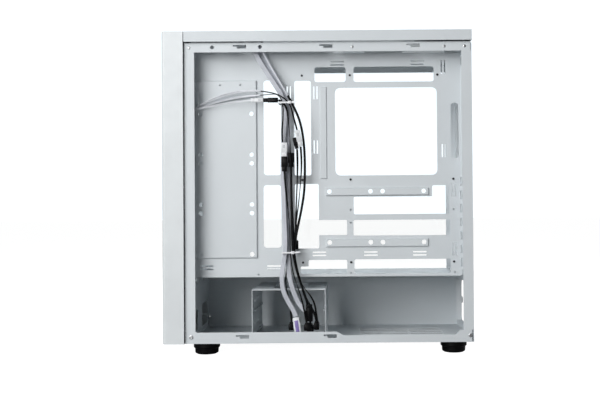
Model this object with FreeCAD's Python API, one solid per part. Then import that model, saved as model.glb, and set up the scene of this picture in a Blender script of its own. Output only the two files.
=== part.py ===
"""An open ATX mid-tower computer case: one STEP file for each separate piece.

Millimetres. +Z is up, the front faces -Y, the cable side faces +X and the glass side faces -X.
The origin is on the floor, under the centre of the case's bounding box.
"""

import FreeCAD, Part

import math
import os

from FreeCAD import Vector

# Driving dimensions
OUTER_WIDTH = 215.0
OUTER_DEPTH = 466.0
OUTER_HEIGHT = 477.5
CHASSIS_WIDTH = 205.0
FOOT_HEIGHT = 17.0
SHEET = 1.0
FRONT_PANEL_DEPTH = 31.75
FRONT_GAP = 1.0
THUMBSCREW_REACH = 8.0
TOP_COVER_HEIGHT = 15.5
TOP_GAP = 1.5
RAIL_HEIGHT = 13.5
FLANGE_WIDTH = 15.0
CABLE_SPACE = 28.0
BOARD_SETBACK = 15.25
TOP_HOLES_HEIGHT = 415.8
TRAY_BOTTOM = 113.4
SLOT_PITCH = 20.32
SLOT_COUNT = 7
FAN_SIZE = 120.0
FAN_DEPTH = 25.0
FAN_HOLE_SPACING = 105.0
FAN_HOLE_RADIUS = 2.15
FAN_PITCH = 121.0
DRIVE_HOLE_SPACING = 76.6
DRIVE_HOLE_WIDTH = 61.72

# Planes worked out from them
SIDE = CHASSIS_WIDTH / 2
OUTER_SIDE = OUTER_WIDTH / 2
FRONT_Y = -OUTER_DEPTH / 2
REAR_Y = OUTER_DEPTH / 2 - THUMBSCREW_REACH
WALL_Y = FRONT_Y + FRONT_PANEL_DEPTH + FRONT_GAP
BOARD_Y = REAR_Y - BOARD_SETBACK
FLOOR_Z = FOOT_HEIGHT
ROOF_Z = OUTER_HEIGHT - TOP_COVER_HEIGHT - TOP_GAP
RAIL_Z = ROOF_Z - RAIL_HEIGHT
TRAY_X = SIDE - CABLE_SPACE
TRAY_BACK_X = TRAY_X - SHEET
POCKET_Y = BOARD_Y + 2.45

X_AXIS = Vector(1, 0, 0)
Y_AXIS = Vector(0, 1, 0)
Z_AXIS = Vector(0, 0, 1)

PIECES = {}


# Shape helpers


def block(x, y, z):
    """A box between the low and high values of each axis."""
    return Part.makeBox(x[1] - x[0], y[1] - y[0], z[1] - z[0], Vector(x[0], y[0], z[0]))


def span(centre, size):
    return (centre - size / 2, centre + size / 2)


def rounded_block(x, y, z, axis, radius):
    """A box whose four edges along one axis are rounded."""
    body = block(x, y, z)
    edges = [edge for edge in body.Edges if abs(edge.tangentAt(0).dot(axis)) > 0.99]
    return body.makeFillet(radius, edges)


def drum(centre, axis, radius, length):
    return Part.makeCylinder(radius, length, Vector(*centre), axis)


def joined(shapes):
    if len(shapes) == 1:
        return shapes[0]
    return shapes[0].fuse(shapes[1:]).removeSplitter()


def without(shape, tools):
    return shape.cut(tools).removeSplitter()


def mirrored(shape):
    """The same shape on the other side of the case."""
    return shape.mirror(Vector(0, 0, 0), X_AXIS)


def plate_yz(points, x):
    """A plate with the given (y, z) outline, between two x values."""
    wire = Part.makePolygon([Vector(x[0], y, z) for y, z in points + points[:1]])
    return Part.Face(wire).extrude(Vector(x[1] - x[0], 0, 0))


def board(r, d):
    """Y and Z of a point r in front of the board's rear edge and d below its top holes."""
    return BOARD_Y - r, TOP_HOLES_HEIGHT - d


def window(r, d, x, corner=0.0):
    """A prism through the tray, from r and d ranges on the board."""
    y_front, z_top = board(r[1], d[0])
    y_rear, z_bottom = board(r[0], d[1])
    if corner:
        return rounded_block(x, (y_front, y_rear), (z_bottom, z_top), X_AXIS, corner)
    return block(x, (y_front, y_rear), (z_bottom, z_top))


# Floor, walls and roof of the chassis

RAIL_FRONT_Y = WALL_Y + SHEET
HOOK_SLOT_TOP = ((-127.9, 0.1, 129.0), ROOF_Z - 2.8)
HOOK_SLOT_BOTTOM = ((-125.8, 3.3), FLOOR_Z + 12.6)
HOOK_NECK = (6.0, 2.6)
HOOK_MOUTH = (13.4, 5.4)
TOP_RIVETS = (-192.8, 48.7, 184.7, 214.8)
BOTTOM_RIVETS = (-191.4, 219.8)
TOP_ROUND_HOLES = (-158.6, -87.8)


def hook_slot(start_y, top_z):
    """A flag-shaped slot in the right rail: a narrow neck in front and a wide mouth behind it."""
    x = (SIDE - 2 * SHEET, SIDE + SHEET)
    neck_end = start_y + HOOK_NECK[0]
    neck = block(x, (start_y, neck_end + 0.1), (top_z - HOOK_NECK[1], top_z))
    mouth = block(x, (neck_end, neck_end + HOOK_MOUTH[0]), (top_z - HOOK_MOUTH[1], top_z))
    return neck.fuse(mouth)


def rail_cuts(starts, top_z, rivets, rivet_z, holes=()):
    """Hook slots, rivet holes and round holes of one right-hand rail."""
    x = SIDE - 2 * SHEET
    cuts = [hook_slot(start, top_z) for start in starts]
    cuts += [drum((x, y, rivet_z), X_AXIS, 1.2, 3 * SHEET) for y in rivets]
    cuts += [drum((x, y, rivet_z + 0.8), X_AXIS, 2.9, 3 * SHEET) for y in holes]
    return cuts


def both_sides(shapes):
    return shapes + [mirrored(shape) for shape in shapes]


FLOOR_RAIL = 16.3
FLOOR_RAIL_LOW = 11.0
INTAKE_X = (-57.5, 57.5)
INTAKE_Y = (52.0, 200.0)
INTAKE_SLOTS = 6
RUNNER_DEPTH = 5.0


def make_bottom_pan():
    """Floor with a rail up each side. The right rail dips where the power supply goes in."""
    floor = block((-SIDE, SIDE), (WALL_Y, REAR_Y), (FLOOR_Z, FLOOR_Z + SHEET))
    high, low, corner = FLOOR_Z + FLOOR_RAIL, FLOOR_Z + FLOOR_RAIL_LOW, FLOOR_Z + 17.7
    front, rear = RAIL_FRONT_Y, REAR_Y - 3.0
    outline = [
        (front, FLOOR_Z), (rear, FLOOR_Z), (rear, corner), (204.0, corner), (198.0, low),
        (33.4, low), (23.0, high), (-182.0, high), (-185.0, corner), (front, corner),
    ]
    right = plate_yz(outline, (SIDE - SHEET, SIDE))
    right_hem = block((SIDE - 3.0, SIDE), (-181.0, 22.5), (high - SHEET, high))
    left = mirrored(block((SIDE - SHEET, SIDE), (front, rear), (FLOOR_Z, high)))
    left_hem = mirrored(block((SIDE - 3.0, SIDE), (front, rear), (high - SHEET, high)))
    runners = []
    for x, toward in ((INTAKE_X[0] - SHEET, 1), (INTAKE_X[1], -1)):
        foot_x = (x, x + 6.0) if toward > 0 else (x - 5.0, x + SHEET)
        y = (INTAKE_Y[0] - 4.0, REAR_Y - 3.0)
        runners.append(block((x, x + SHEET), y, (FLOOR_Z - RUNNER_DEPTH, FLOOR_Z)))
        runners.append(block(foot_x, y, (FLOOR_Z - RUNNER_DEPTH - SHEET, FLOOR_Z - RUNNER_DEPTH)))
    pan = joined([floor, right, right_hem, left, left_hem] + runners)
    pitch = (INTAKE_X[1] - INTAKE_X[0]) / INTAKE_SLOTS
    slots = [
        rounded_block(
            (INTAKE_X[0] + pitch * i + 4.0, INTAKE_X[0] + pitch * (i + 1) - 4.0),
            (INTAKE_Y[0] + 6.0, INTAKE_Y[1] - 10.0), (FLOOR_Z - 1, FLOOR_Z + 2), Z_AXIS, 5.0)
        for i in range(INTAKE_SLOTS)
    ]
    cuts = rail_cuts(HOOK_SLOT_BOTTOM[0], HOOK_SLOT_BOTTOM[1], BOTTOM_RIVETS, FLOOR_Z + 9.7)
    return without(pan, slots + both_sides(cuts))


FAN_CENTRES_Z = tuple(397.0 - FAN_PITCH * i for i in range(3))
PEG_PLACES = [(x, z) for x in (-96.0, 96.0) for z in (36.0, 250.0, 428.0)]
PEG_RADIUS = 3.0


def fan_holes(centre, axis, length):
    """Four screw holes round a fan's centre. centre is the near end of its axis."""
    half = FAN_HOLE_SPACING / 2
    across = Y_AXIS if axis == Z_AXIS else Z_AXIS
    places = [(a, b) for a in (-half, half) for b in (-half, half)]
    return [
        Part.makeCylinder(FAN_HOLE_RADIUS, length, centre + X_AXIS * a + across * b, axis)
        for a, b in places
    ]


def make_front_frame():
    """Front wall with a flange down each side, three fan openings and the bay's openings."""
    wall = block((-SIDE, SIDE), (WALL_Y, WALL_Y + SHEET), (FLOOR_Z + SHEET, ROOF_Z - SHEET))
    flange = block(
        (SIDE - SHEET, SIDE), (WALL_Y, WALL_Y + FLANGE_WIDTH), (FLOOR_Z + 17.7, RAIL_Z))
    cuts = []
    for z in FAN_CENTRES_Z:
        cuts.append(drum((0, WALL_Y - 1, z), Y_AXIS, 57.0, 3 * SHEET))
        cuts += fan_holes(Vector(0, WALL_Y - 1, z), Y_AXIS, 3 * SHEET)
    depth = (WALL_Y - 1, WALL_Y + 2)
    cuts.append(rounded_block((-94.5, -38.5), depth, (25.0, 62.0), Y_AXIS, 4.0))
    cuts.append(rounded_block((-3.5, 22.5), depth, (25.0, 57.0), Y_AXIS, 4.0))
    cuts.append(rounded_block((72.0, 94.0), depth, (350.0, 370.0), Y_AXIS, 4.0))
    cuts += [drum((x, WALL_Y - 1, z), Y_AXIS, PEG_RADIUS + 0.6, 3 * SHEET) for x, z in PEG_PLACES]
    cuts.append(drum((60.0, WALL_Y - 1, 80.0), Y_AXIS, 3.0, 3 * SHEET))
    return without(joined([wall, flange, mirrored(flange)]), cuts)


IO_APERTURE_X = (TRAY_BACK_X - 48.6, TRAY_BACK_X - 4.0)
IO_APERTURE_Z = (267.0, 424.6)
SLOT_ZS = tuple(TOP_HOLES_HEIGHT - 161.5 - SLOT_PITCH * i for i in range(SLOT_COUNT))
LEDGE_X = -45.4
REAR_FAN = (-41.5, 350.0)
PSU_FACE = (150.0, 86.0)
PSU_CORNER = (-52.0, 22.5)
PSU_HOLES = ((6.0, 80.0), (144.0, 80.0), (6.0, 16.0), (120.0, 6.0))


def pocket_prisms(inset, y):
    """The stepped-in pocket for the I/O plate and the slots, as two boxes."""
    slots_z = (SLOT_ZS[-1] - 11.0 + inset, SLOT_ZS[0] + 11.0 - inset)
    right = TRAY_X + 2.0 - inset
    slots = block((LEDGE_X + inset, right), y, slots_z)
    io = block((20.0 + inset, right), y, (SLOT_ZS[0] - 6.0, 430.0 - inset))
    return slots.fuse(io).removeSplitter()


def ring_grille(centre_x, centre_z, depth):
    """Ring-shaped air slots, each broken by four spokes."""
    tools = []
    ring, land, outer = 7.5, 3.5, 56.5
    spokes = joined([
        block((centre_x - 2.2, centre_x + 2.2), depth, (centre_z - 70, centre_z + 70)),
        block((centre_x - 70, centre_x + 70), depth, (centre_z - 2.2, centre_z + 2.2)),
    ]).rotate(Vector(centre_x, 0, centre_z), Y_AXIS, 45)
    for i in range(4):
        radius = outer - i * (ring + land)
        thick = depth[1] - depth[0]
        disc = drum((centre_x, depth[0], centre_z), Y_AXIS, radius, thick)
        core = drum((centre_x, depth[0], centre_z), Y_AXIS, radius - ring, thick)
        tools.append(disc.cut(core).cut(spokes))
    return tools


def make_rear_panel():
    """Rear wall, with the pocket, the fan grille and the power supply's opening."""
    wall = block((-SIDE, SIDE), (REAR_Y - SHEET, REAR_Y), (FLOOR_Z + SHEET, ROOF_Z - SHEET))
    flange = block((SIDE - SHEET, SIDE), (BOARD_Y, REAR_Y), (FLOOR_Z + 17.7, RAIL_Z))
    far_hem = block((-SIDE, -SIDE + SHEET), (REAR_Y - 3, REAR_Y), (FLOOR_Z + 20, RAIL_Z))
    pocket = pocket_prisms(0.0, (POCKET_Y, REAR_Y))
    hollow = pocket_prisms(SHEET, (POCKET_Y + SHEET, REAR_Y + 1))
    panel = joined([wall, flange, far_hem, pocket]).cut(hollow)
    cuts = [rounded_block(IO_APERTURE_X, (POCKET_Y - 1, POCKET_Y + 2), IO_APERTURE_Z, Y_AXIS, 1.0)]
    for z in SLOT_ZS:
        cuts.append(block((-36.0, 66.0), (POCKET_Y - 1, POCKET_Y + 2), span(z, 12.6)))
        cuts.append(drum((LEDGE_X - 1, REAR_Y - 6.5, z), X_AXIS, 1.5, 3 * SHEET))
    depth = (REAR_Y - 2, REAR_Y + 1)
    cuts += ring_grille(REAR_FAN[0], REAR_FAN[1], depth)
    cuts += fan_holes(Vector(REAR_FAN[0], depth[0], REAR_FAN[1]), Y_AXIS, 3 * SHEET)
    left, bottom = PSU_CORNER
    opening_x = (left + 10.0, left + PSU_FACE[0] - 10.0)
    opening_z = (bottom + 10.0, bottom + PSU_FACE[1] - 10.0)
    cuts.append(rounded_block(opening_x, depth, opening_z, Y_AXIS, 10.0))
    cuts += [drum((left + a, depth[0], bottom + b), Y_AXIS, 2.0, 3 * SHEET) for a, b in PSU_HOLES]
    cuts += [drum((-SIDE + 8.0, depth[0], z), Y_AXIS, 1.7, 3 * SHEET) for z in THUMBSCREW_ZS]
    cuts += [drum((SIDE - 8.0, depth[0], z), Y_AXIS, 1.7, 3 * SHEET) for z in THUMBSCREW_ZS]
    for i in range(6):
        cuts.append(rounded_block(span(-75.0, 34.0), depth, span(250.0 - 21.0 * i, 7.0), Y_AXIS, 3.4))
    lip = block((opening_x[0] - SHEET, opening_x[0]), (REAR_Y - 9.0, REAR_Y - SHEET), opening_z)
    return without(panel, cuts).fuse(lip).removeSplitter()


ROOF_FANS = ((-18.0, -60.0), (-18.0, 72.0))
ROOF_CABLE_HOLE = ((70.0, 97.0), (-112.0, -86.0))


def make_top_frame():
    """Roof plate with a hemmed rail down each side."""
    roof = block((-SIDE, SIDE), (WALL_Y, REAR_Y - 2.0), (ROOF_Z - SHEET, ROOF_Z))
    rail = block((SIDE - SHEET, SIDE), (RAIL_FRONT_Y, REAR_Y - 2.0), (RAIL_Z, ROOF_Z))
    hem = block((SIDE - 3.0, SIDE), (RAIL_FRONT_Y + 13.0, BOARD_Y), (RAIL_Z, RAIL_Z + 1.4))
    cuts = rail_cuts(HOOK_SLOT_TOP[0], HOOK_SLOT_TOP[1], TOP_RIVETS, ROOF_Z - 6.9, TOP_ROUND_HOLES)
    frame = without(joined(both_sides([rail, hem]) + [roof]), both_sides(cuts))
    openings = [rounded_block(*ROOF_CABLE_HOLE, (ROOF_Z - 3, ROOF_Z + 3), Z_AXIS, 5.0)]
    for x, y in ROOF_FANS:
        openings.append(drum((x, y, ROOF_Z - 3), Z_AXIS, 56.0, 6.0))
        for a in (-FAN_HOLE_SPACING / 2, FAN_HOLE_SPACING / 2):
            for b in (-FAN_HOLE_SPACING / 2, FAN_HOLE_SPACING / 2):
                hole = rounded_block(span(x + a, 12.0), span(y + b, 4.3),
                                     (ROOF_Z - 3, ROOF_Z + 3), Z_AXIS, 2.1)
                openings.append(hole)
    openings += [drum((x, y, ROOF_Z - 3), Z_AXIS, CLIP_RADIUS + 0.5, 6.0) for x, y in CLIP_PLACES]
    return without(frame, openings)


# Motherboard tray

TRAY_CUT_X = (TRAY_BACK_X - 1.0, TRAY_X + 6.0)

CPU_CUTOUT = ((34.0, 187.7), (18.8, 151.3), 8.0)
CABLE_OPENINGS = [
    ((38.5, 159.4), (-12.8, 10.2), 3.5),
    ((171.3, 218.4), (-12.5, 10.0), 3.5),
    ((224.0, 249.2), (7.8, 150.8), 3.0),
    ((269.2, 295.6), (6.8, 150.1), 5.0),
    ((269.5, 296.3), (165.0, 259.2), 5.0),
    ((213.0, 249.0), (163.7, 260.8), 2.5),
    ((170.9, 216.0), (218.3, 240.8), 2.0),
    ((16.9, 160.5), (183.5, 210.0), 2.5),
    ((16.9, 42.2), (167.0, 186.0), 2.0),
    ((16.0, 161.0), (218.6, 241.9), 2.5),
    ((15.3, 159.9), (277.8, 299.0), 2.5),
    ((171.0, 229.0), (278.3, 299.0), 2.5),
    ((226.0, 241.0), (288.0, 299.0), 2.0),
    ((142.4, 189.9), (-44.6, -33.3), 0.0),
    ((22.7, 85.6), (-44.6, -33.3), 0.0),
    ((1.9, 13.3), (42.8, 126.0), 5.0),
]
STANDOFFS = [
    (33.02, 0.0), (165.1, 0.0), (237.49, 0.0),
    (10.16, 157.48), (165.1, 157.48), (237.49, 157.48),
    (10.16, 281.94), (165.1, 281.94), (237.49, 281.94),
]
SPARE_HOLES = [
    (10.16, 203.2), (165.1, 203.2), (165.1, 222.4), (165.1, 298.0), (8.8, 298.0),
    (360.4, 13.9), (330.1, 13.9), (304.3, 299.6),
]
COLLAR_LENGTH = 4.0
COLLAR_END = 0.6
COLLAR_OUTER = 2.5
TAPPED_RADIUS = 1.3
PLATEAU = ((304.8, 408.9), (6.5, 275.4), 3.0, 2.0)
STRIPS = [
    ((47.0, 203.0), (169.6, 182.5), 3.0, 1.8),
    ((47.8, 203.0), (246.6, 259.6), 3.0, 1.8),
]
RIB = ((199.8, 210.8), (17.0, 156.6), 1.6, 1.6)
STRIP_DRIVES_R = (197.0 - DRIVE_HOLE_WIDTH / 2, 117.0 - DRIVE_HOLE_WIDTH / 2)
STRIP_DRIVES_D = 213.7
PLATEAU_DRIVES_D = (88.15, 163.0, 237.8)
PLATEAU_DRIVES_R = 351.9
DRIVE_HOLE_RADIUS = 3.4
VERTICAL_ANCHORS = [
    (390.5, 34.0), (257.2, 26.0), (217.1, 26.0), (217.1, 108.0), (24.3, -11.5),
    (23.9, 114.9), (9.7, 174.5), (9.3, 262.7),
]
FLAT_ANCHORS = [
    (183.9, -18.2), (63.0, -18.3), (212.8, 269.0), (135.2, 269.2), (61.6, 269.3),
    (382.4, 288.7), (281.3, 289.2),
]
ANCHOR_LENGTH = 20.0
ANCHOR_WIDTH = 2.0
ANCHOR_PITCH = 4.8


def frustum(r, d, x, slope):
    """A flat-topped bump: the rectangle at its top is smaller than its base by the slope."""
    wires = []
    for height, inset in ((x[0], 0.0), (x[1], slope)):
        y_front, z_top = board(r[1] - inset, d[0] + inset)
        y_rear, z_bottom = board(r[0] + inset, d[1] - inset)
        corners = [(y_front, z_bottom), (y_rear, z_bottom), (y_rear, z_top), (y_front, z_top)]
        corners.append(corners[0])
        wires.append(Part.makePolygon([Vector(height, y, z) for y, z in corners]))
    return Part.makeLoft(wires, True, True)


def raised(sheet, r, d, height, slope):
    """Presses a bump of one sheet thickness into a sheet, toward +X."""
    bump = frustum(r, d, (TRAY_X, TRAY_X + height), slope)
    hollow = frustum(r, d, (TRAY_BACK_X, TRAY_BACK_X + height), slope)
    return sheet.fuse(bump).cut(hollow)


def anchor_slots(r, d, upright):
    """The two slots either side of a cable-tie bridge."""
    tools = []
    for side in (-ANCHOR_PITCH / 2, ANCHOR_PITCH / 2):
        if upright:
            tools.append(window(span(r + side, ANCHOR_WIDTH), span(d, ANCHOR_LENGTH), TRAY_CUT_X))
        else:
            tools.append(window(span(r, ANCHOR_LENGTH), span(d + side, ANCHOR_WIDTH), TRAY_CUT_X))
    return tools


def board_hole(r, d, radius):
    y, z = board(r, d)
    return drum((TRAY_CUT_X[0], y, z), X_AXIS, radius, TRAY_CUT_X[1] - TRAY_CUT_X[0])


def spare_collar(r, d):
    """The blind tapped collar behind a spare hole, and the hole in it."""
    y, z = board(r, d)
    on_plateau = PLATEAU[0][0] < r < PLATEAU[0][1] and PLATEAU[1][0] < d < PLATEAU[1][1]
    back = TRAY_BACK_X + (PLATEAU[2] if on_plateau else 0.0)
    collar = drum((back - COLLAR_LENGTH, y, z), X_AXIS, COLLAR_OUTER, COLLAR_LENGTH)
    hole = drum((back - COLLAR_LENGTH + COLLAR_END, y, z), X_AXIS, TAPPED_RADIUS, COLLAR_LENGTH + SHEET)
    return collar, hole


def drive_holes():
    """Grommet holes for five 2.5 inch drives."""
    places = []
    for centre in STRIP_DRIVES_R:
        for a in (-DRIVE_HOLE_WIDTH / 2, DRIVE_HOLE_WIDTH / 2):
            for b in (-DRIVE_HOLE_SPACING / 2, DRIVE_HOLE_SPACING / 2):
                places.append((centre + a, STRIP_DRIVES_D + b))
    for centre in PLATEAU_DRIVES_D:
        for a in (-DRIVE_HOLE_SPACING / 2, DRIVE_HOLE_SPACING / 2):
            for b in (-DRIVE_HOLE_WIDTH / 2, DRIVE_HOLE_WIDTH / 2):
                places.append((PLATEAU_DRIVES_R + a, centre + b))
    return [board_hole(r, d, DRIVE_HOLE_RADIUS) for r, d in places]


def make_tray():
    """The sheet that the board is screwed to, with openings for cables."""
    sheet = block(
        (TRAY_BACK_X, TRAY_X), (WALL_Y + SHEET, POCKET_Y), (TRAY_BOTTOM, ROOF_Z - SHEET))
    for r, d, height, slope in [PLATEAU] + STRIPS + [RIB]:
        sheet = raised(sheet, r, d, height, slope)
    r, d, corner = CPU_CUTOUT
    tools = [window(r, d, TRAY_CUT_X, corner)]
    tools += [window(r, d, TRAY_CUT_X, corner) for r, d, corner in CABLE_OPENINGS]
    tools += [board_hole(r, d, 1.7) for r, d in STANDOFFS]
    collars, holes = zip(*[spare_collar(r, d) for r, d in SPARE_HOLES])
    sheet = sheet.fuse(list(collars))
    tools += holes
    tools += drive_holes()
    for r, d in VERTICAL_ANCHORS:
        tools += anchor_slots(r, d, True)
    for r, d in FLAT_ANCHORS:
        tools += anchor_slots(r, d, False)
    for z in SLOT_ZS:
        tools.append(block(TRAY_CUT_X, (POCKET_Y - 2.4, POCKET_Y + 1), span(z, 12.8)))
    return without(sheet, tools)


def make_standoffs():
    """Hexagonal standoffs on the tray's far face, threaded for 6-32 screws."""
    posts = []
    for r, d in STANDOFFS:
        y, z = board(r, d)
        corners = [
            Vector(TRAY_BACK_X, y + 2.9 * math.cos(math.radians(60 * i)),
                   z + 2.9 * math.sin(math.radians(60 * i)))
            for i in range(7)
        ]
        head = Part.Face(Part.makePolygon(corners)).extrude(Vector(-6.5, 0, 0))
        shank = drum((TRAY_BACK_X, y, z), X_AXIS, 1.65, SHEET + 1.0)
        bore = drum((TRAY_BACK_X - 7.0, y, z), X_AXIS, 1.4, 5.0)
        posts.append(head.fuse(shank).cut(bore))
    return Part.makeCompound(posts)


# Power-supply bay and drive cage

CAGE_X = (-61.0, 84.0)
CAGE_Y = (BOARD_Y - 314.0, BOARD_Y - 203.8)
CAGE_TOP = FLOOR_Z + 77.3
SHROUD_X = -SIDE + 4.0


def make_shroud():
    """Roof and far wall of the power-supply bay."""
    y = (WALL_Y + SHEET, REAR_Y - SHEET)
    top = block((SHROUD_X, TRAY_X), (y[0], y[1] - 14.0), (TRAY_BOTTOM - SHEET, TRAY_BOTTOM))
    wall = block((SHROUD_X, SHROUD_X + SHEET), (y[0] + 4.0, y[1]), (FLOOR_Z + SHEET, TRAY_BOTTOM))
    depth = (TRAY_BOTTOM - 2, TRAY_BOTTOM + 1)
    tools = [
        rounded_block((44.0, 66.0), (-30.0, 30.0), depth, Z_AXIS, 6.0),
        rounded_block((44.0, 66.0), (110.0, 170.0), depth, Z_AXIS, 6.0),
    ]
    return without(joined([top, wall]), tools)


def make_cage():
    """Open-ended cage for two 3.5 inch drives, with shelves pressed out of its side walls."""
    z = (FLOOR_Z + SHEET, CAGE_TOP)
    outer = block(CAGE_X, CAGE_Y, z)
    inner_y = (CAGE_Y[0] + SHEET, CAGE_Y[1] - SHEET)
    cage = outer.cut(block((CAGE_X[0] - 1, CAGE_X[1] + 1), inner_y, (z[0] + SHEET, z[1] - SHEET)))
    shelves = []
    for level in (z[0] + 8.0, z[0] + 43.0):
        for wall_y, inward in ((inner_y[0], 1), (inner_y[1], -1)):
            for x in (-48.0, -4.0, 40.0):
                y = tuple(sorted((wall_y, wall_y + inward * 3.2)))
                shelves.append(block((x, x + 32.0), y, (level, level + 1.2)))
    tools = []
    for y in (CAGE_Y[0] - 1, CAGE_Y[1] - 2):
        for level in (z[0] + 22.0, z[0] + 57.0):
            for x in (-40.0, 4.0, 48.0):
                tools.append(drum((x, y, level), Y_AXIS, 2.4, 3 * SHEET))
    tools.append(rounded_block((-40.0, 60.0), (CAGE_Y[0] + 30, CAGE_Y[1] - 30),
                               (z[1] - 2, z[1] + 1), Z_AXIS, 8.0))
    return without(joined([cage] + shelves), tools)


# Slot covers and small fasteners


def make_slot_cover(z):
    """Blanking plate: a tongue through the tray, and a tab screwed to the pocket's ledge."""
    y = (POCKET_Y - SHEET, POCKET_Y)
    plate = block((LEDGE_X - SHEET, TRAY_BACK_X - 1.0), y, span(z, 18.4))
    tongue = block((TRAY_BACK_X - 1.0, TRAY_X + 2.6), y, span(z, 9.6))
    tab = block((LEDGE_X - SHEET, LEDGE_X), (POCKET_Y - SHEET, REAR_Y - 2.4), span(z, 18.4))
    cuts = [drum((LEDGE_X - 2, REAR_Y - 6.5, z), X_AXIS, 2.2, 3.0)]
    for i in range(3):
        x = (-28.0 + 30.0 * i, -6.0 + 30.0 * i)
        cuts.append(rounded_block(x, (y[0] - 1, y[1] + 1), span(z, 3.0), Y_AXIS, 1.4))
    return without(joined([plate, tongue, tab]), cuts)


def make_case_screws():
    """The slot covers' screws and the front fans' screws."""
    screws = []
    for z in SLOT_ZS:
        head = drum((LEDGE_X - SHEET - 3.0, REAR_Y - 6.5, z), X_AXIS, 3.4, 3.0)
        shank = drum((LEDGE_X - SHEET, REAR_Y - 6.5, z), X_AXIS, 1.45, 5.0)
        screws.append(head.fuse(shank))
    half = FAN_HOLE_SPACING / 2
    for fan_z in FAN_CENTRES_Z:
        for a in (-half, half):
            for b in (-half, half):
                head = drum((a, WALL_Y + SHEET, fan_z + b), Y_AXIS, 3.6, 2.2)
                shank = drum((a, WALL_Y - 8.0, fan_z + b), Y_AXIS, 2.1, 8.0 + SHEET)
                screws.append(head.fuse(shank))
    return Part.makeCompound(screws)


def make_rivets():
    """Blind rivets through the top rail of the cable side, and screws at the bottom corners."""
    rivets = []
    rows = [(TOP_RIVETS, ROOF_Z - 6.9, 2.1), (BOTTOM_RIVETS, FLOOR_Z + 9.7, 3.1)]
    for ys, z, head_radius in rows:
        for y in ys:
            head = drum((SIDE, y, z), X_AXIS, head_radius, 0.7)
            shank = drum((SIDE - 2 * SHEET, y, z), X_AXIS, 1.2, 2 * SHEET)
            rivets.append(head.fuse(shank))
    return Part.makeCompound(rivets)


# Feet

FOOT_X = 80.0
FOOT_YS = (-172.0, 197.0)
FOOT_RADIUS = 17.2
COLLAR_RADIUS = 19.5
COLLAR_BOTTOM = 10.0
PAD_HEIGHT = 2.0


def make_foot(x, y):
    """A flared round foot, turned about its own axis, with a seat for its pad."""
    profile = [
        (0, PAD_HEIGHT - 0.5), (FOOT_RADIUS - 2.5, PAD_HEIGHT - 0.5), (FOOT_RADIUS - 2.5, 1.2),
        (FOOT_RADIUS - 0.8, 1.2), (FOOT_RADIUS, 2.2),
        (FOOT_RADIUS + 0.4, COLLAR_BOTTOM - 1.6), (COLLAR_RADIUS, COLLAR_BOTTOM),
        (COLLAR_RADIUS, FOOT_HEIGHT), (0, FOOT_HEIGHT),
    ]
    wire = Part.makePolygon([Vector(x + r, y, z) for r, z in profile + profile[:1]])
    return Part.Face(wire).revolve(Vector(x, y, 0), Z_AXIS, 360)


def make_foot_pads():
    pads = [
        drum((x, y, 0), Z_AXIS, FOOT_RADIUS - 2.7, PAD_HEIGHT - 0.5)
        for x in (-FOOT_X, FOOT_X) for y in FOOT_YS
    ]
    return Part.makeCompound(pads)


# Front panel and fans

BEZEL_WALL = 2.5
FACE_X = 99.0
FACE_Z = (27.0, 467.0)
PANEL_REAR_Y = WALL_Y - FRONT_GAP


def make_bezel():
    """A deep frame with rounded upright edges, a recess for the mesh and snap pegs."""
    z = (FLOOR_Z, OUTER_HEIGHT)
    outer = block((-OUTER_SIDE, OUTER_SIDE), (FRONT_Y, PANEL_REAR_Y), z)
    uprights = [
        edge for edge in outer.Edges
        if abs(edge.tangentAt(0).z) > 0.99 and edge.CenterOfMass.y < FRONT_Y + 1
    ]
    outer = outer.makeFillet(5.0, uprights)
    inside_x = (-OUTER_SIDE + BEZEL_WALL, OUTER_SIDE - BEZEL_WALL)
    inside = block(inside_x, (FRONT_Y + 5.0, PANEL_REAR_Y + 1), (z[0] + BEZEL_WALL, z[1] - BEZEL_WALL))
    face = rounded_block((-FACE_X, FACE_X), (FRONT_Y - 1, FRONT_Y + 6.0), FACE_Z, Y_AXIS, 4.0)
    bezel = outer.cut([inside, face])
    pegs = []
    for x, peg_z in PEG_PLACES:
        reach = WALL_Y + 4.0
        pegs.append(drum((x, FRONT_Y + 5.0, peg_z), Y_AXIS, PEG_RADIUS, reach - FRONT_Y - 5.0))
        gusset_x = (x, inside_x[1]) if x > 0 else (inside_x[0], x)
        pegs.append(block(gusset_x, (FRONT_Y + 5.0, PANEL_REAR_Y), span(peg_z, 2.0)))
    return joined([bezel] + pegs)


def make_front_mesh():
    return rounded_block(
        (-FACE_X + 0.3, FACE_X - 0.3), (FRONT_Y + 1.0, FRONT_Y + 2.0),
        (FACE_Z[0] + 0.3, FACE_Z[1] - 0.3), Y_AXIS, 3.7)


def make_front_filter():
    return block((-FACE_X + 4, FACE_X - 4), (FRONT_Y + 3.0, FRONT_Y + 4.6),
                 (FACE_Z[0] + 4, FACE_Z[1] - 4))


HUB_RADIUS = 21.0
BLADE_RADIUS = 55.0
BLADES = 9


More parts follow.
